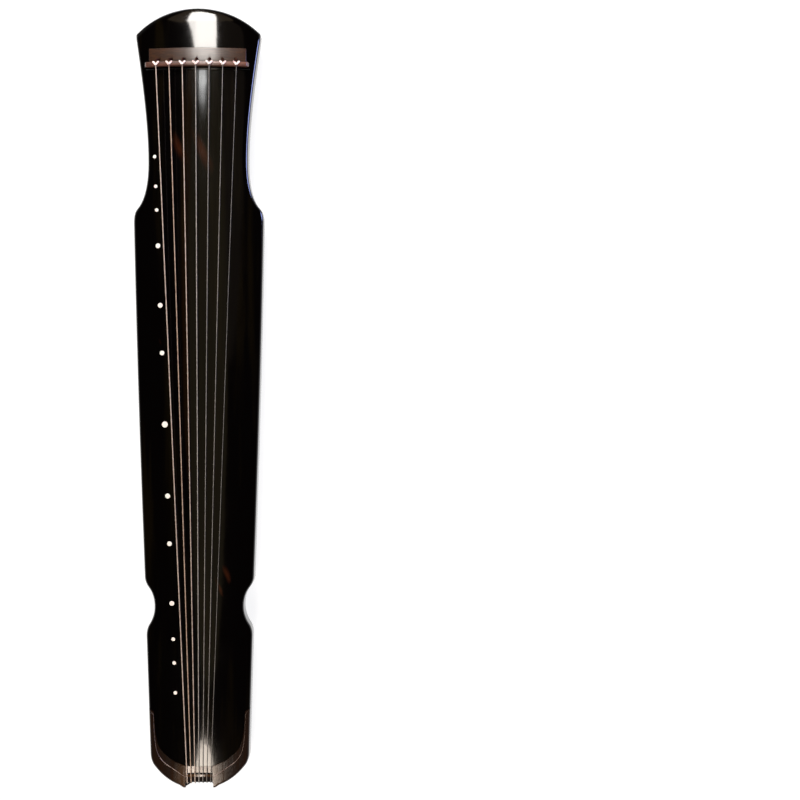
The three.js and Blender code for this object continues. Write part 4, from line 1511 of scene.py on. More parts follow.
@dataclass
class Bridge(Section):
    """The tall rosewood bar at the head and the thin strip in front of it."""

    half: float = 81.0
    end_drop: float = 7.0
    end_reach: float = 4.0
    end_thinning: float = 0.25
    lacquer_height: float = 11.0
    fillet: float = 1.6
    strip_width: float = 22.0
    strip_half: float = 76.0
    strip_round: float = 0.8
    strip_bevel: float = 0.3
    strip_sharp: float = 26.0
    hole_lip: tuple[Plan, ...] = (
        (-12, 0), (-0.7, 0), (-0.35, 0.12), (-0.1, 0.35), (0.1, 0.7), (4, 0.7))

    def build(self) -> None:
        """Builds the bridge and its strip and lets them ride."""
        at = self.layout
        self.add("rosewood_bridge", self._bar(), [self.palette.rosewood, self.palette.lacquer],
                 Slot.ROSEWOOD, "bridge", sharp=50)
        strip = Bench.piece("rosewood_strip", self._strip(), [self.palette.strip_wood])
        holes = []
        for y in map(at.peg_y, range(STRING_COUNT)):
            high = float(self.plan.top(at.peg_x, y)) + SEAM + at.strip_thickness
            holes.append(Bench.loft([Bench.circle((at.peg_x, y), at.bore + wider, high + up, 24)
                                     for up, wider in self.hole_lip]))
        Bench.carve(strip, Bench.joined(holes))
        Bench.shade(strip, self.strip_sharp)
        dress(strip, BODY, Slot.ROSEWOOD, "bridge_strip")

    def _bar(self) -> bmesh.types.BMesh:
        """The bridge: an arched bar with a rounded back and falling ends.

        Returns:
            The closed bar.
        """
        straight = self.half - self.end_reach
        half_line = np.concatenate([np.linspace(0, straight, 25)[:-1], straight
                                    + self.end_reach * np.sin(np.linspace(0, TURN / 4, 9))])
        rings = []
        for y in map(float, np.concatenate([-half_line[:0:-1], half_line])):
            into = max(abs(y) - straight, 0) / self.end_reach
            fall = 1 - math.sqrt(max(1 - into ** 2, 0.0))
            high = self.layout.bridge_top(self.plan, y) - self.end_drop * fall
            rings.append(self._section(y, high, 1 - self.end_thinning * fall))
        bm = Bench.loft(rings)
        bm.normal_update()
        # Faces on the bar's tail side below a height take the lacquer: painted shade, dark as
        # the tail face in shade.
        for face in bm.faces:
            middle = face.calc_center_median()
            split = float(self.plan.top(middle.x, middle.y)) + self.lacquer_height
            if middle.x < self.layout.bridge_x and SEAM < split - middle.z:
                face.material_index = 1
        return bm

    def _section(self, y: float, high: float, thin: float) -> list[Point]:
        """The bridge's cross-section at a place across the body.

        Args:
            y: The place.
            high: The height of its top.
            thin: The share of its usual thickness.

        Returns:
            The section's points.
        """
        x, r, turns = self.layout.bridge_x, self.layout.bridge_round, Bench.quarter(4)
        base, top = self.layout.bridge_base / 2 * thin, self.layout.bridge_width / 2 * thin
        front, back = ([(x + side * (top - r + r * math.cos(a)), y, high - r + r * math.sin(a))
                        for a in turns] for side in (1, -1))
        ring = [(x + base, y, float(self.plan.top(x + base, y)) + SEAM)] + front + back[::-1]
        low = float(self.plan.top(x - base, y)) + SEAM
        up = (self.lacquer_height + 1) / (high - low)
        ring.append((x - base - (top - base) * up, y, low + (high - low) * up))
        return ring + [(x - base - self.fillet * (1 - math.cos(a)), y,
                        low + self.fillet * (1 - math.sin(a))) for a in turns]

    def _strip(self) -> bmesh.types.BMesh:
        """The strip: a thin plate laid on the arch, with rounded upper edges.

        Returns:
            The closed strip.
        """
        x0 = self.layout.bridge_x + self.layout.bridge_base / 2 + SEAM
        x1, r, bevel = x0 + self.strip_width, self.strip_round, self.strip_bevel
        straight = self.strip_half - r
        inner = [float(v) for v in np.linspace(-straight, straight, 41)]
        ends = [straight + r * math.sin(a) for a in Bench.quarter(4)[1:]]
        rings = []
        for y in [-v for v in ends[::-1]] + inner + ends:
            into = max(abs(y) - straight, 0) / r
            fall = r * (1 - math.sqrt(max(1 - min(into, 1.0) ** 2, 0.0))) * 0.9
            low0, low1 = (float(self.plan.top(x, y)) + SEAM for x in (x0, x1))
            high = self.layout.strip_thickness - fall
            ring = [(x1, y, low1)]
            ring += [(x1 - r + r * math.cos(a), y, low1 + high - r + r * math.sin(a))
                     for a in Bench.quarter(4)]
            ring += [(x0 + bevel, y, low0 + high), (x0, y, low0 + high - bevel),
                     (x0, y, low0)]
            rings.append(ring)
        return Bench.loft(rings)


@dataclass
class TailWood(Section):
    """The hardwood at the tail: two corners, nut, saddle and the plates below."""

    rise: float = 0.8
    tuck: float = 0.12
    plate_head: float = -564.0
    plate_tail: float = -605.0
    plate_inner: float = 15.0
    plate_rim: float = 9.0
    plate_thickness: float = 2.6
    soften: float = 0.3
    round_steps: int = 8

    START = -487.0
    INNER = ((-492.0, 71.5), (-540.0, 70.0), (-551.0, 61.0), (-559.0, 54.5), (-568.5, 40.0),
             (-576.0, 21.0))
    BAND = ((-497.0, 71.8), (-534.0, 71.5), (-552.0, 67.0), (-568.0, 62.5), (-577.0, 46.0),
            (-593.5, 21.0))
    NOTCH = ((-15.0, 27.0), (15.0, 27.0), (15.0, 32.0), (21.9, 61.0), (21.9, ABOVE),
             (-21.9, ABOVE), (-21.9, 61.0), (-15.0, 32.0))
    NOTCH_HALF = 21.9
    NOTCH_END = -615.0
    ROWS = 61
    STEP = (0.485, 0.515)
    SHARES = np.concatenate([[0, 0.012, 0.04], np.linspace(0.12, 0.46, 5),
                             [STEP[0], 0.5, STEP[1], 0.54], np.linspace(0.62, 0.9, 8),
                             [0.94, 0.965, 0.985, 0.996, 1.0]])
    NUT_SLOPE = (14.4, 12.6)
    NUT_WORN = 8.9
    # Control point, end and steps of each of the plate's curves, by its shares.
    OGEE = (((0, 0.06), (0.04, 0.16), 8), ((0.36, 0.38), (0.2, 0.6), 12),
            ((0.08, 0.8), (0.12, 1), 10), ((0.5, 0.9), (0.8, 0.45), 12))

    @staticmethod
    def corner_line(start: Plan, line: Sequence[Plan], steps: int = 10) -> list[Plan]:
        """One of a corner's curves, from the body's side to the nut.

        Args:
            start: Where it leaves the side.
            line: Its first point, then twice a control point and a point, then its end.
            steps: How many steps each curve has.

        Returns:
            The curve's points.
        """
        a, pull, b, turn, c, d = line
        made = [start] + Bench.quadratic(a, pull, b, steps) + Bench.quadratic(b, turn, c, steps)
        return made + [(c[0] + (d[0] - c[0]) * k / 4, c[1] + (d[1] - c[1]) * k / 4)
                       for k in range(5)]

    @classmethod
    def recess(cls, plan: BodyPlan, layout: Layout) -> bmesh.types.BMesh:
        """The cutter of the place where both corners and the nut are let in.

        Args:
            plan: The body's plan.
            layout: The shared sizes.

        Returns:
            The cutter.
        """
        start = (cls.START, float(plan.half_width(cls.START)))
        line = [(start[0] + SEAM, start[1] + OVERRUN)]
        line += [(x + SEAM, y - SEAM) for x, y in cls.corner_line(start, cls.INNER)]
        outline = line + [(x, -y) for x, y in line[::-1]]
        outline += [(plan.tail_tip - OVERRUN, way * (start[1] + OVERRUN)) for way in (-1, 1)]
        return Bench.prism(outline, layout.nut_seat, ABOVE)

    @classmethod
    def notch(cls, layout: Layout) -> bmesh.types.BMesh:
        """The cutter of the notch that the strings run down in."""
        return Bench.loft([[(x, y, z) for y, z in cls.NOTCH]
                           for x in (cls.NOTCH_END, layout.nut_x)])

    def build(self) -> None:
        """Builds every tail piece and lets it ride."""
        paint = self.palette
        for side in Side:
            self.add(f"hardwood_corner_{side.label}", self._corner(side),
                     [paint.hardwood, paint.worn_edge, paint.shadow_wood], Slot.HARDWOOD,
                     f"tail_corner_{side.label}")
            self.add(f"hardwood_plate_{side.label}", self._plate(side), [paint.plate_wood],
                     Slot.HARDWOOD, f"tail_plate_{side.label}")
        self.add("hardwood_nut", self._nut(), [paint.hardwood, paint.shadow_wood],
                 Slot.HARDWOOD, "tail_nut")
        self.add("hardwood_saddle", self._saddle(), [paint.hardwood], Slot.HARDWOOD,
                 "under_tail_saddle")

    def _corner(self, side: Side) -> bmesh.types.BMesh:
        """A corner: a flat inlay inside, and outside it a band that stands proud.

        Args:
            side: The side that it is on.

        Returns:
            The closed corner.
        """
        shares, rows = self.SHARES, self.ROWS
        wall, tip = self.NOTCH_HALF, self.plan.tail_tip
        start = (self.START, float(self.plan.half_width(self.START)))
        inner = Bench.resampled(self.corner_line(start, self.INNER), rows)
        band = Bench.resampled(self.corner_line(start, self.BAND), rows)
        edge = [start] + [(x, y) for x, y in self.plan.side if x < self.START - 1]
        outer = Bench.resampled(
            edge + [tuple(at) for at in self.plan.tail[1:]] + [(tip, wall)], rows)
        end = Bench.resampled([self.INNER[-1], self.BAND[-1],
                               (self.layout.nut_x, self.INNER[-1][1]),
                               (self.layout.nut_x, wall), (tip, wall)], 40)
        inward, outward = shares[shares <= 0.5, None] * 2, shares[shares > 0.5, None] * 2 - 1
        places = [np.vstack([a + (b - a) * inward, b + (c - b) * outward])
                  for a, b, c in zip(inner, band, outer)]
        places[-1] = np.stack([np.interp(shares * (len(end) - 1), range(len(end)), column)
                               for column in end.T], axis=1)
        grid = np.array(places)
        lift = self.rise * np.clip((shares - self.STEP[0]) / (self.STEP[1] - self.STEP[0]), 0, 1)
        lift = lift - np.where(shares < shares[1], self.tuck, 0.0)
        bm, index = Bench.grid(rows, len(shares))
        flat = np.array([grid[key] for key in index])
        fall = self.plan.drop(flat, self.plan.edge_round)
        for vert, key, at, down in zip(bm.verts, index, flat, fall):
            high = float(self.plan.top(at[0], at[1])) + float(lift[key[1]]) - float(down)
            vert.co = (at[0], side.value * at[1], high)
        column = {vert: key[1] for vert, key in zip(bm.verts, index)}
        # The step's faces take the second material, a painted highlight along the step's edge.
        for face in bm.faces:
            first = shares[min(column[vert] for vert in face.verts)]
            face.material_index = int(self.STEP[0] <= first < self.STEP[1])
        tops = set(bm.faces)
        for vert in Bench.extruded(bm):
            vert.co.z = self.layout.nut_seat + SEAM
        # The corner's notch walls take the third material, painted shade.
        for face in bm.faces:
            reach = [vert.co.y * side.value for vert in face.verts]
            if face not in tops and max(reach) < wall + 0.1 and min(reach) > 20.0:
                face.material_index = 2
        return Bench.cleaned(bm, 0.002)

    def _across(self, section: Sequence[Plan], half: float) -> bmesh.types.BMesh:
        """A section of X and Z run across the body, with slightly eased ends.

        Args:
            section: The section's points.
            half: Half the piece's length across the body.

        Returns:
            The closed bar.
        """
        middle = np.mean(section, axis=0)
        inside = half - self.soften
        rings = []
        for y, ease in ((-half, self.soften), (-inside, 0.0), (0.0, 0.0), (inside, 0.0),
                        (half, self.soften)):
            ring = []
            for x, z in section:
                away = Vector((x - middle[0], z - middle[1]))
                away = away * max(1 - ease / max(away.length, 0.01), 0.0)
                ring.append((float(middle[0] + away.x), y, float(middle[1] + away.y)))
            rings.append(ring)
        return Bench.loft(rings)

    def _nut(self) -> bmesh.types.BMesh:
        """The nut: a flat plate whose tail end rises to a rounded ridge.

        Returns:
            The closed nut.
        """
        at, r = self.layout, self.layout.nut_round
        x, top = at.nut_x, float(self.plan.crown(at.nut_x)) + at.nut_rise
        end, low = x + at.nut_length, at.nut_seat + SEAM
        flat = float(self.plan.top(end, at.nut_width / 2))
        foot, first, last = flat - 0.5, x + self.NUT_SLOPE[0], x + self.NUT_SLOPE[1]
        crest = top - 0.3
        section = [(x, low), (end, low), (end, flat), (first + 0.3, foot + 0.01)]
        section += [(last + (first - last) * (1 - k / 6),
                     foot + (top - foot) * (0.5 - 0.5 * math.cos(math.pi * k / 6)))
                    for k in range(7)]
        section += [(last - 0.3, top - 0.02), (x + 9.0, top - 0.2), (x + r + 0.1, crest)]
        section += [(x + r - r * math.sin(a), crest - r + r * math.cos(a))
                    for a in Bench.quarter(self.round_steps)]
        bm = self._across(section, at.nut_width / 2)
        bm.normal_update()
        # Faces at the tail end and on the ridge's head slope take the darkened wood: painted
        # shade on faces turned from the light.
        for face in bm.faces:
            place = face.calc_center_median().x
            if place < x + self.NUT_WORN or last + 0.1 < place < first:
                face.material_index = 1
        return bm

    def _saddle(self) -> bmesh.types.BMesh:
        """The saddle under the tail, round on its tail edge.

        Returns:
            The closed saddle.
        """
        at, r, bevel = self.layout, self.layout.nut_round, 0.6
        x, low, high = at.nut_x, at.feet - at.saddle_drop, at.back_top - SEAM
        end = x + at.saddle_length
        section = [(x + r - r * math.cos(a), low + r - r * math.sin(a))
                   for a in Bench.quarter(self.round_steps)]
        section += [(end - bevel, low), (end, low + bevel), (end, high), (x, high)]
        return self._across(section, at.saddle_width / 2)

    def _plate(self, side: Side) -> bmesh.types.BMesh:
        """A thin plate under the tail with an ogee head edge.

        Args:
            side: The side that it is on.

        Returns:
            The closed plate.
        """
        length = self.plate_head - self.plate_tail
        reach = float(self.plan.half_width(self.plate_head)) - self.plate_rim - self.plate_inner

        def at(along: float, out: float) -> Plan:
            """A place on the plate by its shares."""
            return (self.plate_head - along * length, self.plate_inner + out * reach)

        outline, here = [at(1, 0), at(0.575, 0)], (0.15, 0)
        for pull, end, steps in self.OGEE:
            outline += Bench.quadratic(at(*here), at(*pull), at(*end), steps)
            here = end
        outline += [at(*here), at(1, 0.14)]
        line = np.array(outline)
        high = self.layout.feet - SEAM
        low = high - self.plate_thickness
        return Bench.loft([
            [(float(x), side.value * float(y), z) for x, y in self._shrunk(line, ease)]
            for z, ease in ((high, 0.0), (low + 0.7, 0.0), (low + 0.2, 0.2), (low, 0.7))])

    @staticmethod
    def _shrunk(line: np.ndarray, ease: float) -> np.ndarray:
        """A closed plan line moved inward by a small length.

        Args:
            line: The line.
            ease: The length.

        Returns:
            The moved line.
        """
        before, after = np.roll(line, 1, axis=0), np.roll(line, -1, axis=0)
        along = after - before
        along /= np.maximum(np.linalg.norm(along, axis=1), 1e-9)[:, None]
        normal = np.c_[-along[:, 1], along[:, 0]]
        area = 0.5 * float(np.sum(line[:, 0] * after[:, 1] - after[:, 0] * line[:, 1]))
        return line + normal * ease * (1 if area > 0 else -1)


@dataclass
class TwistedCord:
    """Silk cord of two plies twisted round each other."""

    width: float = 3.4
    pitch: float = 8.0
    steps: int = 12
    ply: float = 0.28
    off: float = 0.22

    def mesh(self, line: np.ndarray) -> bmesh.types.BMesh:
        """The two plies along a line.

        Args:
            line: The cord's middle line, with its points close together.

        Returns:
            One mesh, with the second ply in the second material.
        """
        length = Bench.along(line)[-1]
        fine = Bench.resampled(line, max(int(length / (self.pitch / self.steps)), 2))
        along = np.gradient(fine, axis=0)
        along /= np.linalg.norm(along, axis=1)[:, None]
        normal = np.cross(along[0], (0.0, 1.0, 0.0))
        if np.linalg.norm(normal) < 0.2:
            normal = np.cross(along[0], (1.0, 0.0, 0.0))
        off = self.width * self.off
        lines: list[list[np.ndarray]] = [[], []]
        for k, (point, way) in enumerate(zip(fine, along)):
            normal = normal - way * float(normal @ way)
            normal /= np.linalg.norm(normal)
            other = np.cross(way, normal)
            for number in (0, 1):
                angle = TURN * k / self.steps + number * math.pi
                lines[number].append(point + off * (normal * math.cos(angle)
                                                    + other * math.sin(angle)))
        return Bench.joined([Bench.tube(np.array(points), self.width * self.ply, 2)
                             for points in lines], [0, 1])


@dataclass
class Tuning(Section):
    """The pegs, their silk turns, the silk that runs up to the knots and the free tails."""

    cord: TwistedCord
    plate_thickness: float = 4.0
    peg_length: float = 30.0
    neck: float = 3.6
    collar: float = 1.6
    wound: float = 1.5
    run_bend: float = 60.0
    run_dip: float = 3.0
    run_lean: float = 1.5
    run_low: float = 5.0
    tail_in: float = 3.0
    tail_rest: float = 1.9
    tail_first: float = 5.0
    bend: float = 7.0
    slack: tuple[tuple[float, ...], ...] = (
        (0, -1, -3, -1, 4, 7, 6, 2), (0, 1, 3, 3, 1, -1, 0, 2), (0, -1, -3, -5, -5, -3, -1, -2),
        (0, -1, -3, -2, 1, 4, 6, 7), (0, -1, 0, 1, -1, -4, -6, -7), (0, 1, 4, 7, 8, 7, 6, 7),
        (0, -1, -4, -7, -7, -4, 0, 2))
    slack_step: float = 6.8
    turn_pitch: float = 3.9
    turn_drop: float = 0.5
    turn_end: Plan = (2.4, -1.2)
    knot_height: float = 2.25
    knot_strand: float = 1.0
    tuft_strand: float = 0.32
    tuft_spread: float = 0.28

    # A peg's points: radius and height below its upper face, for the neck the heights
    # alone, and for the end the heights above its lower face.
    COLLAR = ((5.3, 0), (5.6, -0.3), (5.6, -1.3), (5.3, -1.6), (4.1, -1.75))
    NECK = (-2.1, -13.15)
    GRIP = ((4.1, -13.65), (5.6, -14.15), (6.1, -14.65), (6.2, -15.35), (6.0, -18.0),
            (5.55, -20.5), (5.3, -23.0), (5.35, -25.5), (5.5, -27.5), (5.4, -28.8),
            (4.9, -29.6))
    END = ((4.1, 0), (2.9, 0), (2.6, 0.3))
    KNOT = (0.62, 0.62, 0.95)
    TUFT = ((1.6, 0.8, -0.4), (2.6, 1.3, -0.7), (3.8, 2.1, -1.15))

    @property
    def peg_top(self) -> float:
        """Height of the pegs' upper faces."""
        return self.layout.back_top - self.plate_thickness - SEAM

    def tail_line(self, number: int) -> np.ndarray:
        """The middle line of a free silk tail, from inside its peg to its knot.

        Args:
            number: The string's number, from nought.

        Returns:
            The line's points.
        """
        x, y, bend = self.layout.peg_x, self.layout.peg_y(number), self.bend
        points: list[Point] = [(x, y, self.peg_top - self.peg_length + self.tail_in)]
        points += [(x + bend * (1 - math.cos(a)), y,
                    self.tail_rest + bend * (1 - math.sin(a))) for a in Bench.quarter(4)]
        points += [(x + bend + self.tail_first + self.slack_step * k, y + aside,
                    self.tail_rest) for k, aside in enumerate(self.slack[number])]
        return Bench.smooth_line(points, 8)

    def build_tails(self) -> None:
        silks = self.palette.silks
        for number in range(STRING_COUNT):
            line = self.tail_line(number)
            tail = self.add(f"silk_tail_{number + 1}", self.cord.mesh(line), silks, Slot.SILK,
                            f"cord_tail_{number + 1}", sharp=60)
            knot = self.add(f"silk_tail_knot_{number + 1}", self._knot(line), silks,
                            Slot.SILK, sharp=60)
            length = float(Bench.along(line)[-1]) * MM

    def _knot(self, line: np.ndarray) -> bmesh.types.BMesh:
        """An overhand knot pulled tight round a tail's end, with a short tuft.

        Args:
            line: The tail's middle line.

        Returns:
            The knot, with its tuft.
        """
        end, way = line[-1], line[-1] - line[-4]
        turns = np.linspace(0, TURN, 72, endpoint=False)
        loop = np.c_[(2 + np.cos(3 * turns)) * np.cos(2 * turns),
                     (2 + np.cos(3 * turns)) * np.sin(2 * turns), np.sin(3 * turns)]
        parts = [Bench.tube(loop * self.KNOT, self.knot_strand, 2, closed=True)]
        for k in range(5):
            spread = (k - 2) * self.tuft_spread
            tuft = [(x, spread * wide, z) for x, wide, z in self.TUFT]
            parts.append(Bench.tube(Bench.smooth_line(tuft, 4), self.tuft_strand, 1))
        bm = Bench.joined(parts, [0, 1, 0, 1, 0, 1])
        matrix = (Matrix.Translation((end[0], end[1], self.knot_height))
                  @ Matrix.Rotation(math.atan2(way[1], way[0]), 4, "Z"))
        bmesh.ops.transform(bm, matrix=matrix, verts=list(bm.verts))
        return bm

    def build(self) -> None:
        """Builds the pegs with their turns and the silk above them."""
        for number in range(STRING_COUNT):
            body = f"peg_{number + 1}"
            self.add(f"turned_{body}", self._peg(number), [self.palette.ebony], Slot.EBONY,
                     body, body=body)
            self.add(f"silk_turns_{number + 1}", self._turns(number), self.palette.silks,
                     Slot.SILK, sharp=60, body=body)
            # The silk run takes the darkened silk, painted shade.
            self.add(f"silk_run_{number + 1}", self._run(number),
                     [self.palette.worn_silk] * 2, Slot.SILK, f"silk_loop_{number + 1}",
                     sharp=60)

    def _peg(self, number: int) -> bmesh.types.BMesh:
        """A turned and bored peg with collar, neck and waisted grip.

        Args:
            number: The string's number, from nought.

        Returns:
            The peg.
        """
        bore, low = self.layout.bore, -self.peg_length
        profile = [(bore, 0), *self.COLLAR, *((self.neck, z) for z in self.NECK), *self.GRIP,
                   *((radius, low + z) for radius, z in self.END), (bore, low + 0.8),
                   (bore, 0)]
        return Bench.moved(Bench.turned(profile, 40),
                           (self.layout.peg_x, self.layout.peg_y(number), self.peg_top))

    def _turns(self, number: int) -> bmesh.types.BMesh:
        """The silk wound round a peg's neck, going into it at both ends.

        Args:
            number: The string's number, from nought.

        Returns:
            The turns' two plies.
        """
        silk, pitch = self.layout.silk, self.turn_pitch
        radius = self.neck + silk / 2 + SEAM
        top = self.peg_top - self.collar - self.turn_drop - silk / 2
        x, y = self.layout.peg_x, self.layout.peg_y(number)
        dx, dy = self.turn_end
        line = [(x + dx, y + dy, top)]
        line += [(x + radius * math.cos(a), y + radius * math.sin(a), top - pitch * a / TURN)
                 for a in np.linspace(0, self.wound * TURN, 37)]
        line.append((x - dx, y - dy, top - self.wound * pitch))
        return self.cord.mesh(Bench.smooth_line(line, 3))

    def _run(self, number: int) -> bmesh.types.BMesh:
        """The silk from a string's knot, over the strip's hole and down to the peg.

        Args:
            number: The string's number, from nought.

        Returns:
            The silk's two plies.
        """
        at = self.layout
        y, string_y = at.peg_y(number), at.bridge_y(number)
        x = at.bridge_x + at.bridge_base / 2 + SEAM + at.silk / 2
        top = at.bridge_top(self.plan, string_y)
        skin = float(self.plan.top(at.peg_x, y)) + SEAM + at.strip_thickness
        points = [(x, string_y, top - SEAM), (x, string_y, top - self.run_dip),
                  (x + self.run_lean, (string_y + y) / 2, (top + skin) / 2),
                  (at.peg_x - SEAM, y, skin + self.run_dip), (at.peg_x, y, skin),
                  (at.peg_x, y, self.run_bend), (at.peg_x, y, self.peg_top - self.run_low)]
        return self.cord.mesh(Bench.smooth_line(points, 8))


@dataclass
class Supports(Section):
    """The two guards under the head and the two turned goose feet."""

    guard: Plan = (566.0, 82.5)
    guard_size: Plan = (24.0, 13.0)
    guard_foot: float = 0.72
    guard_round: float = 2.2
    guard_fade: float = 0.16
    squareness: float = 0.6
    ball_top: float = 15.0
    ball: Point = (9.5, 7.6, 7.4)
    ball_fullness: float = 0.75

    # Radius and height: the stem over its seat, the neck under it and over the ball,
    # and the rings of the ball's flat.
    STEM = ((0, 9), (4.2, 9), (4.5, 8.6), (4.5, 0), (6.6, 0))
    NECK = ((6.8, -1.0), (6.5, -1.6), (6.0, -2.2))
    THROAT = ((6.0, 0.8), (6.3, 0.1))
    FLAT = ((6.4, 0.0), (4.8, 0.0), (4.4, 0.6), (4.0, 1.0), (2.4, 1.0), (2.0, 0.5),
            (1.6, 0.0), (0, 0))

    def build(self) -> None:
        """Builds each support and lets it ride."""
        for side in Side:
            self.add(f"lacquered_guard_{side.label}", self._guard(side),
                     [self.palette.lacquer], Slot.LACQUER, f"peg_guard_{side.label}")
            self.add(f"turned_foot_{side.label}", self._goose_foot(side),
                     [self.palette.ebony], Slot.EBONY, f"goose_foot_{side.label}")

    def _guard(self, side: Side) -> bmesh.types.BMesh:
        """A guard: a smooth leg that narrows to its foot.

        Args:
            side: The side that it is on.

        Returns:
            The closed guard.
        """
        high, low = self.layout.feet - SEAM, self.guard_round
        rings = []
        for share in np.linspace(0, 1, 15):
            z = high * (1 - share)
            size = 1 - (1 - self.guard_foot) * share
            if z < low:
                size -= self.guard_fade * (1 - math.sqrt(max(1 - (1 - z / low) ** 2, 0)))
            rings.append(self._bulged(side, z, size))
        return Bench.loft(rings)

    def _bulged(self, side: Side, z: float, size: float) -> list[Point]:
        """One level of a guard: between an oval and a box.

        Args:
            side: The side that it is on.
            z: The level's height.
            size: Its share of the guard's full size.

        Returns:
            Its points.
        """
        long, wide = (length / 2 * size for length in self.guard_size)
        ring = []
        for angle in np.linspace(0, TURN, 40, endpoint=False):
            c, s = (math.copysign(abs(way) ** self.squareness, way)
                    for way in (math.cos(angle), math.sin(angle)))
            ring.append((self.guard[0] + c * long, side.value * self.guard[1] + s * wide, z))
        return ring

    def _goose_foot(self, side: Side) -> bmesh.types.BMesh:
        """A goose foot: stem, neck and a turned ball with a ringed flat.

        Args:
            side: The side that it is on.

        Returns:
            The turned foot.
        """
        feet, (radius, middle, half) = self.layout.feet, self.ball
        profile = [(r, level + z) for level, points in (
            (feet - SEAM, self.STEM), (feet, self.NECK), (self.ball_top, self.THROAT))
            for r, z in points]
        profile += [(radius * math.sin(a) ** self.ball_fullness, middle + half * math.cos(a))
                    for a in math.pi * np.linspace(0.15, 0.92, 14)]
        profile += self.FLAT
        x, y = self.layout.goose_foot
        return Bench.moved(Bench.turned(profile, 48), (x, side.value * y, 0))


@dataclass
class Strings(Section):
    """Seven strings with their fly-head knots."""

    gap: float = 0.4
    foot_turns: float = 1.25
    turn_steps: int = 28
    round_steps: int = 8
    straight_steps: int = 24
    far_count: int = 4
    bundle_y: float = 10.3
    bundle_spacing: float = 1.95
    foot_neck: float = 6.0
    knot_size: Point = (9.0, 11.5, 3.0)
    knot_strand: float = 0.37
    knot_plumpness: float = 0.56
    knot_inset: float = 2.4
    knot_dip: float = 0.5
    collar_turns: float = 1.5
    collar_start: float = -1.2
    collar_pitch: float = 1.1
    collar_size: Plan = (1.5, 0.95)
    collar_strand: float = 0.8
    covers: tuple[int, ...] = (0, 1, 0, 2, 3, 3, 4)

    def build(self) -> None:
        """Builds each string with its knot and lets it ride."""
        for number, (width, cover) in enumerate(zip(self.layout.string_widths, self.covers)):
            parts = [Bench.tube(self._route(number), width / 2)] + self._knot(number)
            self.add(f"wrapped_string_{number + 1}",
                     Bench.joined(parts, [0] + [1] * (len(parts) - 1)),
                     [self.palette.string_covers[cover], self.palette.knot_string],
                     Slot.STRING, f"string_{number + 1}", sharp=60)

    def _route(self, number: int) -> np.ndarray:
        """A string's middle line: bridge, nut, saddle, underside and foot.

        Args:
            number: The string's number, from nought.

        Returns:
            The line's points.
        """
        at, r = self.layout, self.layout.nut_round
        radius = at.string_widths[number] / 2
        off = SEAM + radius
        far = number < self.far_count
        side = 1 if far else -1
        order = number if far else STRING_COUNT - 1 - number
        count = self.far_count if far else STRING_COUNT - self.far_count
        saddle_y = side * (self.bundle_y + ((count - 1) / 2 - order) * self.bundle_spacing)
        y, nut_y = at.bridge_y(number), at.nut_y(number)
        high = float(self.plan.crown(at.nut_x)) + at.nut_rise - r
        low = at.feet - at.saddle_drop
        bend, middle = r + off, at.nut_x + r
        start = Vector((at.bridge_x, y, at.bridge_top(self.plan, y) + off))
        over = Vector((middle, nut_y, high + bend))
        points = [tuple(start.lerp(over, k / self.straight_steps))
                  for k in range(self.straight_steps)]
        turns = Bench.quarter(self.round_steps)
        points += [(middle - bend * math.sin(a), nut_y, high + bend * math.cos(a))
                   for a in turns]
        points += [(middle - bend * math.cos(a), saddle_y, low + r - bend * math.sin(a))
                   for a in turns]
        from_x = at.nut_x + at.saddle_length
        points.append((from_x, saddle_y, low - off))
        above = range(number) if far else range(number + 1, STRING_COUNT)
        level = at.feet - self.gap - SEAM - sum(
            (self.foot_turns + 1) * (at.string_widths[other] + self.gap) for other in above)
        wound = self.foot_neck + off
        x, across = at.goose_foot[0], side * at.goose_foot[1]
        dx, dy = from_x - x, saddle_y - across
        first = math.atan2(dy, dx) - side * math.acos(wound / math.hypot(dx, dy))
        for k in range(round(self.foot_turns * self.turn_steps) + 1):
            share = k / self.turn_steps
            angle = first - side * TURN * share
            points.append((x + wound * math.cos(angle), across + wound * math.sin(angle),
                           level - radius - (at.string_widths[number] + self.gap) * share))
        return np.array(points, float)

    def _knot(self, number: int) -> list[bmesh.types.BMesh]:
        """A fly-head knot: two plump loops in a V over the bridge's head edge.

        Args:
            number: The string's number, from nought.

        Returns:
            The two loops and the collar round them.
        """
        at = self.layout
        middle = at.bridge_y(number)
        length, width, thick = self.knot_size
        vertex = at.bridge_x - at.bridge_width / 2 + thick / 2 + at.bridge_round
        strand = thick * self.knot_strand
        turns = np.linspace(0, TURN, 30, endpoint=False)
        parts = []
        for way in (1, -1):
            base = (vertex, middle + way * (width - thick) / 8)
            reach = (length - thick - self.knot_inset, way * (width - thick) * 3 / 8)
            size = math.hypot(*reach)
            ahead = (reach[0] / size, reach[1] / size)
            along = size * (0.5 - 0.5 * np.cos(turns))
            aside = (thick * self.knot_plumpness - strand) * np.sin(turns)
            y = base[1] + along * ahead[1] + aside * ahead[0]
            high = np.array([at.bridge_top(self.plan, float(spot)) for spot in y])
            loop = np.c_[base[0] + along * ahead[0] - aside * ahead[1], y,
                         high + SEAM + thick / 2 - self.knot_dip * (along / size) ** 2]
            parts.append(Bench.tube(loop, strand, closed=True))
        turns = np.linspace(0, TURN * self.collar_turns, 36)
        high = at.bridge_top(self.plan, middle) + SEAM + thick / 2 - 0.1
        wide, tall = self.collar_size
        collar = np.c_[vertex + self.collar_start + turns / TURN * self.collar_pitch,
                       middle + wide * np.cos(turns), high + tall * np.sin(turns)]
        return parts + [Bench.tube(collar, strand * self.collar_strand)]


# The studio


def grey(value: float) -> Colour:
    """A linear grey."""
    return (value, value, value, 1.0)


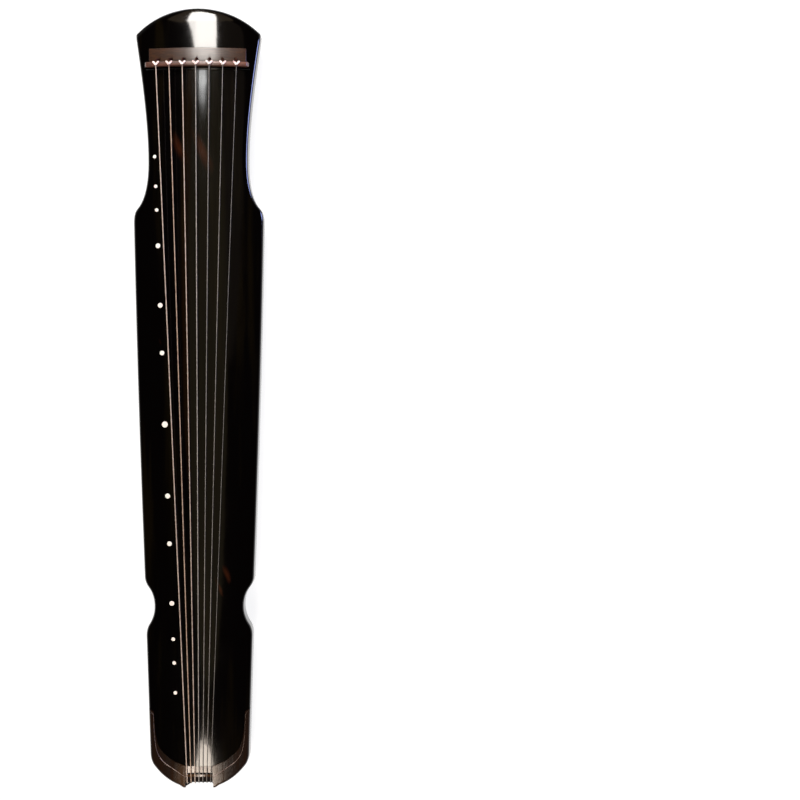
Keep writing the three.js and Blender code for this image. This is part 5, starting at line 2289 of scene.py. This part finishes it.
@dataclass
class Studio:
    """Camera, floor, sky and soft lamps. All lengths are metres."""

    eye: Point = (-0.0047, -0.3155, 2.8)
    lens: float = 78.43
    sensor: float = 36.0
    clip: Plan = (0.1, 60.0)
    roll: float = 0.0028
    lamp_height: float = 2.0
    floor_half: float = 20.0
    floor_z: float = -0.0004
    floor_grey: float = 0.18
    white_from: Plan = (1.0, 3.5)
    whites: Plan = (0.9, 1.02)
    sky_low: float = 0.45
    sky_middle: Plan = (0.25, 0.25)
    sky_high: Plan = (0.6, 0.008)

    def camera(self) -> None:
        """Looks straight down, with the head at the top of the picture."""
        data = bpy.data.cameras.new("camera")
        data.lens, data.sensor_width = self.lens, self.sensor
        data.clip_start, data.clip_end = self.clip
        camera = Bench.shown("camera", data)
        camera.location = self.eye
        camera.rotation_euler = (0, 0, -math.pi / 2 - self.roll)
        bpy.context.scene.camera = camera

    def lamp(self, name: str, place: Plan, size: Plan, power: float, tint: str = "ffffff",
             shape: str = "RECTANGLE") -> bpy.types.Object:
        """Hangs one softbox over the table, facing straight down.

        Args:
            name: Its name.
            place: Its middle in plan.
            size: Its size along X and Y.
            power: Its power in watts.
            tint: Its colour.
            shape: Its outline.

        Returns:
            The lamp.
        """
        data = bpy.data.lights.new(name, "AREA")
        data.shape, data.energy, data.color = shape, power, colour(tint)[:3]
        data.size, data.size_y = size
        lamp = Bench.shown(name, data)
        lamp.location = (*place, self.lamp_height)
        return lamp

    def lamps(self) -> None:
        """Hangs every lamp where its reflection falls as it does on the real lacquer."""
        self.lamp("head_softbox", (2.2, 0.14), (0.8, 0.72), 52, "fffaf4")
        self.lamp("head_strip", (1.425, 0.03), (0.75, 0.5), 31, "fffaf4")
        wedge = self.lamp("head_wedge", (1.482, 0.274), (0.83, 0.24), 14, "fffaf4")
        wedge.rotation_euler.z = math.radians(15.4)
        self.lamp("head_glow", (2.4, 0.2), (1.5, 2.0), 3.2, "ffe2b8", "ELLIPSE")
        self.lamp("tail_softbox", (-1.59, 0.1), (1.2, 0.76), 44, "fff0e0", "ELLIPSE")
        for number, (x, length, width, power) in enumerate(
                ((0.945, 0.026, 0.2, 0.26), (0.903, 0.032, 0.2, 0.44),
                 (0.868, 0.014, 0.15, 0.13), (0.838, 0.012, 0.1, 0.08))):
            self.lamp(f"bridge_spill_{number}", (x, 0.1), (length, width), power)
        self.lamp("ceiling", (0.15, 0.0), (1.9, 0.9), 0.8, "ffeab4", "ELLIPSE")
        self.lamp("ceiling_brown", (0.35, 0.34), (1.3, 0.5), 0.27, "ffa648", "ELLIPSE")
        self.lamp("near_glow", (1.05, -0.5), (1.9, 0.8), 0.36, "ffe9cc", "ELLIPSE")
        rim = self.lamp("near_rim", (0.9, -2.5), (0.5, 1.0), 40, "a8b6ff")
        rim.location.z, rim.rotation_euler.x = 0.9, math.radians(70)

    def floor(self) -> None:
        """A white floor that keeps a faint shadow and can't be seen from below."""
        bm = bmesh.new()
        bmesh.ops.create_grid(bm, x_segments=1, y_segments=1, size=self.floor_half / MM)
        floor = Bench.piece("floor", bm, [self._floor_finish()])
        floor.location.z = self.floor_z

    def _floor_finish(self) -> bpy.types.Material:
        """White to the camera and to reflections, with the object's shadow kept.

        Returns:
            The material.
        """
        material = bpy.data.materials.new("floor")
        material.use_nodes = True
        material.node_tree.nodes.clear()
        desk = NodeDesk(material.node_tree)
        path = desk.add("LightPath").outputs
        seen = desk.maths("MAXIMUM", path["Is Camera Ray"], path["Is Glossy Ray"])
        seen = desk.maths("MAXIMUM", seen, path["Is Transmission Ray"])
        white = desk.span(desk.distance(desk.place(), (0, 0, 0)), *self.white_from,
                          *self.whites)
        glow = desk.add("Emission", {"Strength": desk.maths("MULTIPLY", seen, white)})
        plain = desk.add("BsdfDiffuse", {"Color": grey(self.floor_grey)})
        both = desk.add("AddShader", {0: plain.outputs[0], 1: glow.outputs[0]})
        below = desk.add("NewGeometry").outputs["Backfacing"]
        clear = desk.add("BsdfTransparent").outputs[0]
        mix = desk.add("MixShader", {"Fac": below, 1: both.outputs[0], 2: clear})
        desk.add("OutputMaterial", {"Surface": mix.outputs[0]})
        return material

    def sky(self) -> None:
        """White to the camera; for light and reflections bright low down and dark above."""
        world = bpy.data.worlds.new("studio")
        bpy.context.scene.world = world
        world.use_nodes = True
        world.node_tree.nodes.clear()
        desk = NodeDesk(world.node_tree)
        split = desk.add("SeparateXYZ", {0: desk.add("TexCoord").outputs["Generated"]})
        ramp = desk.add("ValToRGB", {"Fac": split.outputs["Z"]})
        low, high = ramp.color_ramp.elements
        (level, middle), (high.position, dark) = self.sky_middle, self.sky_high
        low.color, high.color = grey(self.sky_low), grey(dark)
        ramp.color_ramp.elements.new(level).color = grey(middle)
        around = desk.add("Background", {"Color": ramp.outputs["Color"]}).outputs[0]
        seen = desk.add("Background", {"Color": grey(1.0)}).outputs[0]
        camera = desk.add("LightPath").outputs["Is Camera Ray"]
        mix = desk.add("MixShader", {"Fac": camera, 1: around, 2: seen})
        desk.add("OutputWorld", {"Surface": mix.outputs[0]})


@dataclass
class Guqin:
    """The whole instrument, built sub-assembly by sub-assembly."""

    frame: dict = field(repr=False)
    plan: BodyPlan = field(default_factory=BodyPlan)
    layout: Layout = field(default_factory=Layout)

    def build(self) -> None:
        """Builds every piece, the cords first, and dresses the nodes that stay."""
        palette = Palette()
        given = (self.plan, self.layout, palette)
        tuning = Tuning(*given, TwistedCord(self.layout.silk))
        tuning.build_tails()
        studs = Studs(*given)
        for part in (Soundboard(*given, studs), BackBoard(*given), studs, Bridge(*given),
                     TailWood(*given), tuning, Supports(*given), Strings(*given)):
            part.build()
        for node in ("peg_plate", "heaven_post", "earth_post"):
            kept = self.frame["nodes"][node]
            kept.data.materials.clear()
            kept.data.materials.append(palette.pale_wood)
            log.info("%s: dressed", node)


def main() -> None:
    """Loads the frame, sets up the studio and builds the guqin."""
    logging.basicConfig(level=logging.INFO, format="%(message)s")
    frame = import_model()
    bpy.context.scene.view_settings.view_transform = "Standard"
    studio = Studio()
    studio.camera()
    Guqin(frame).build()
    studio.lamps()
    studio.floor()
    studio.sky()


if __name__ == "__main__":
    main()
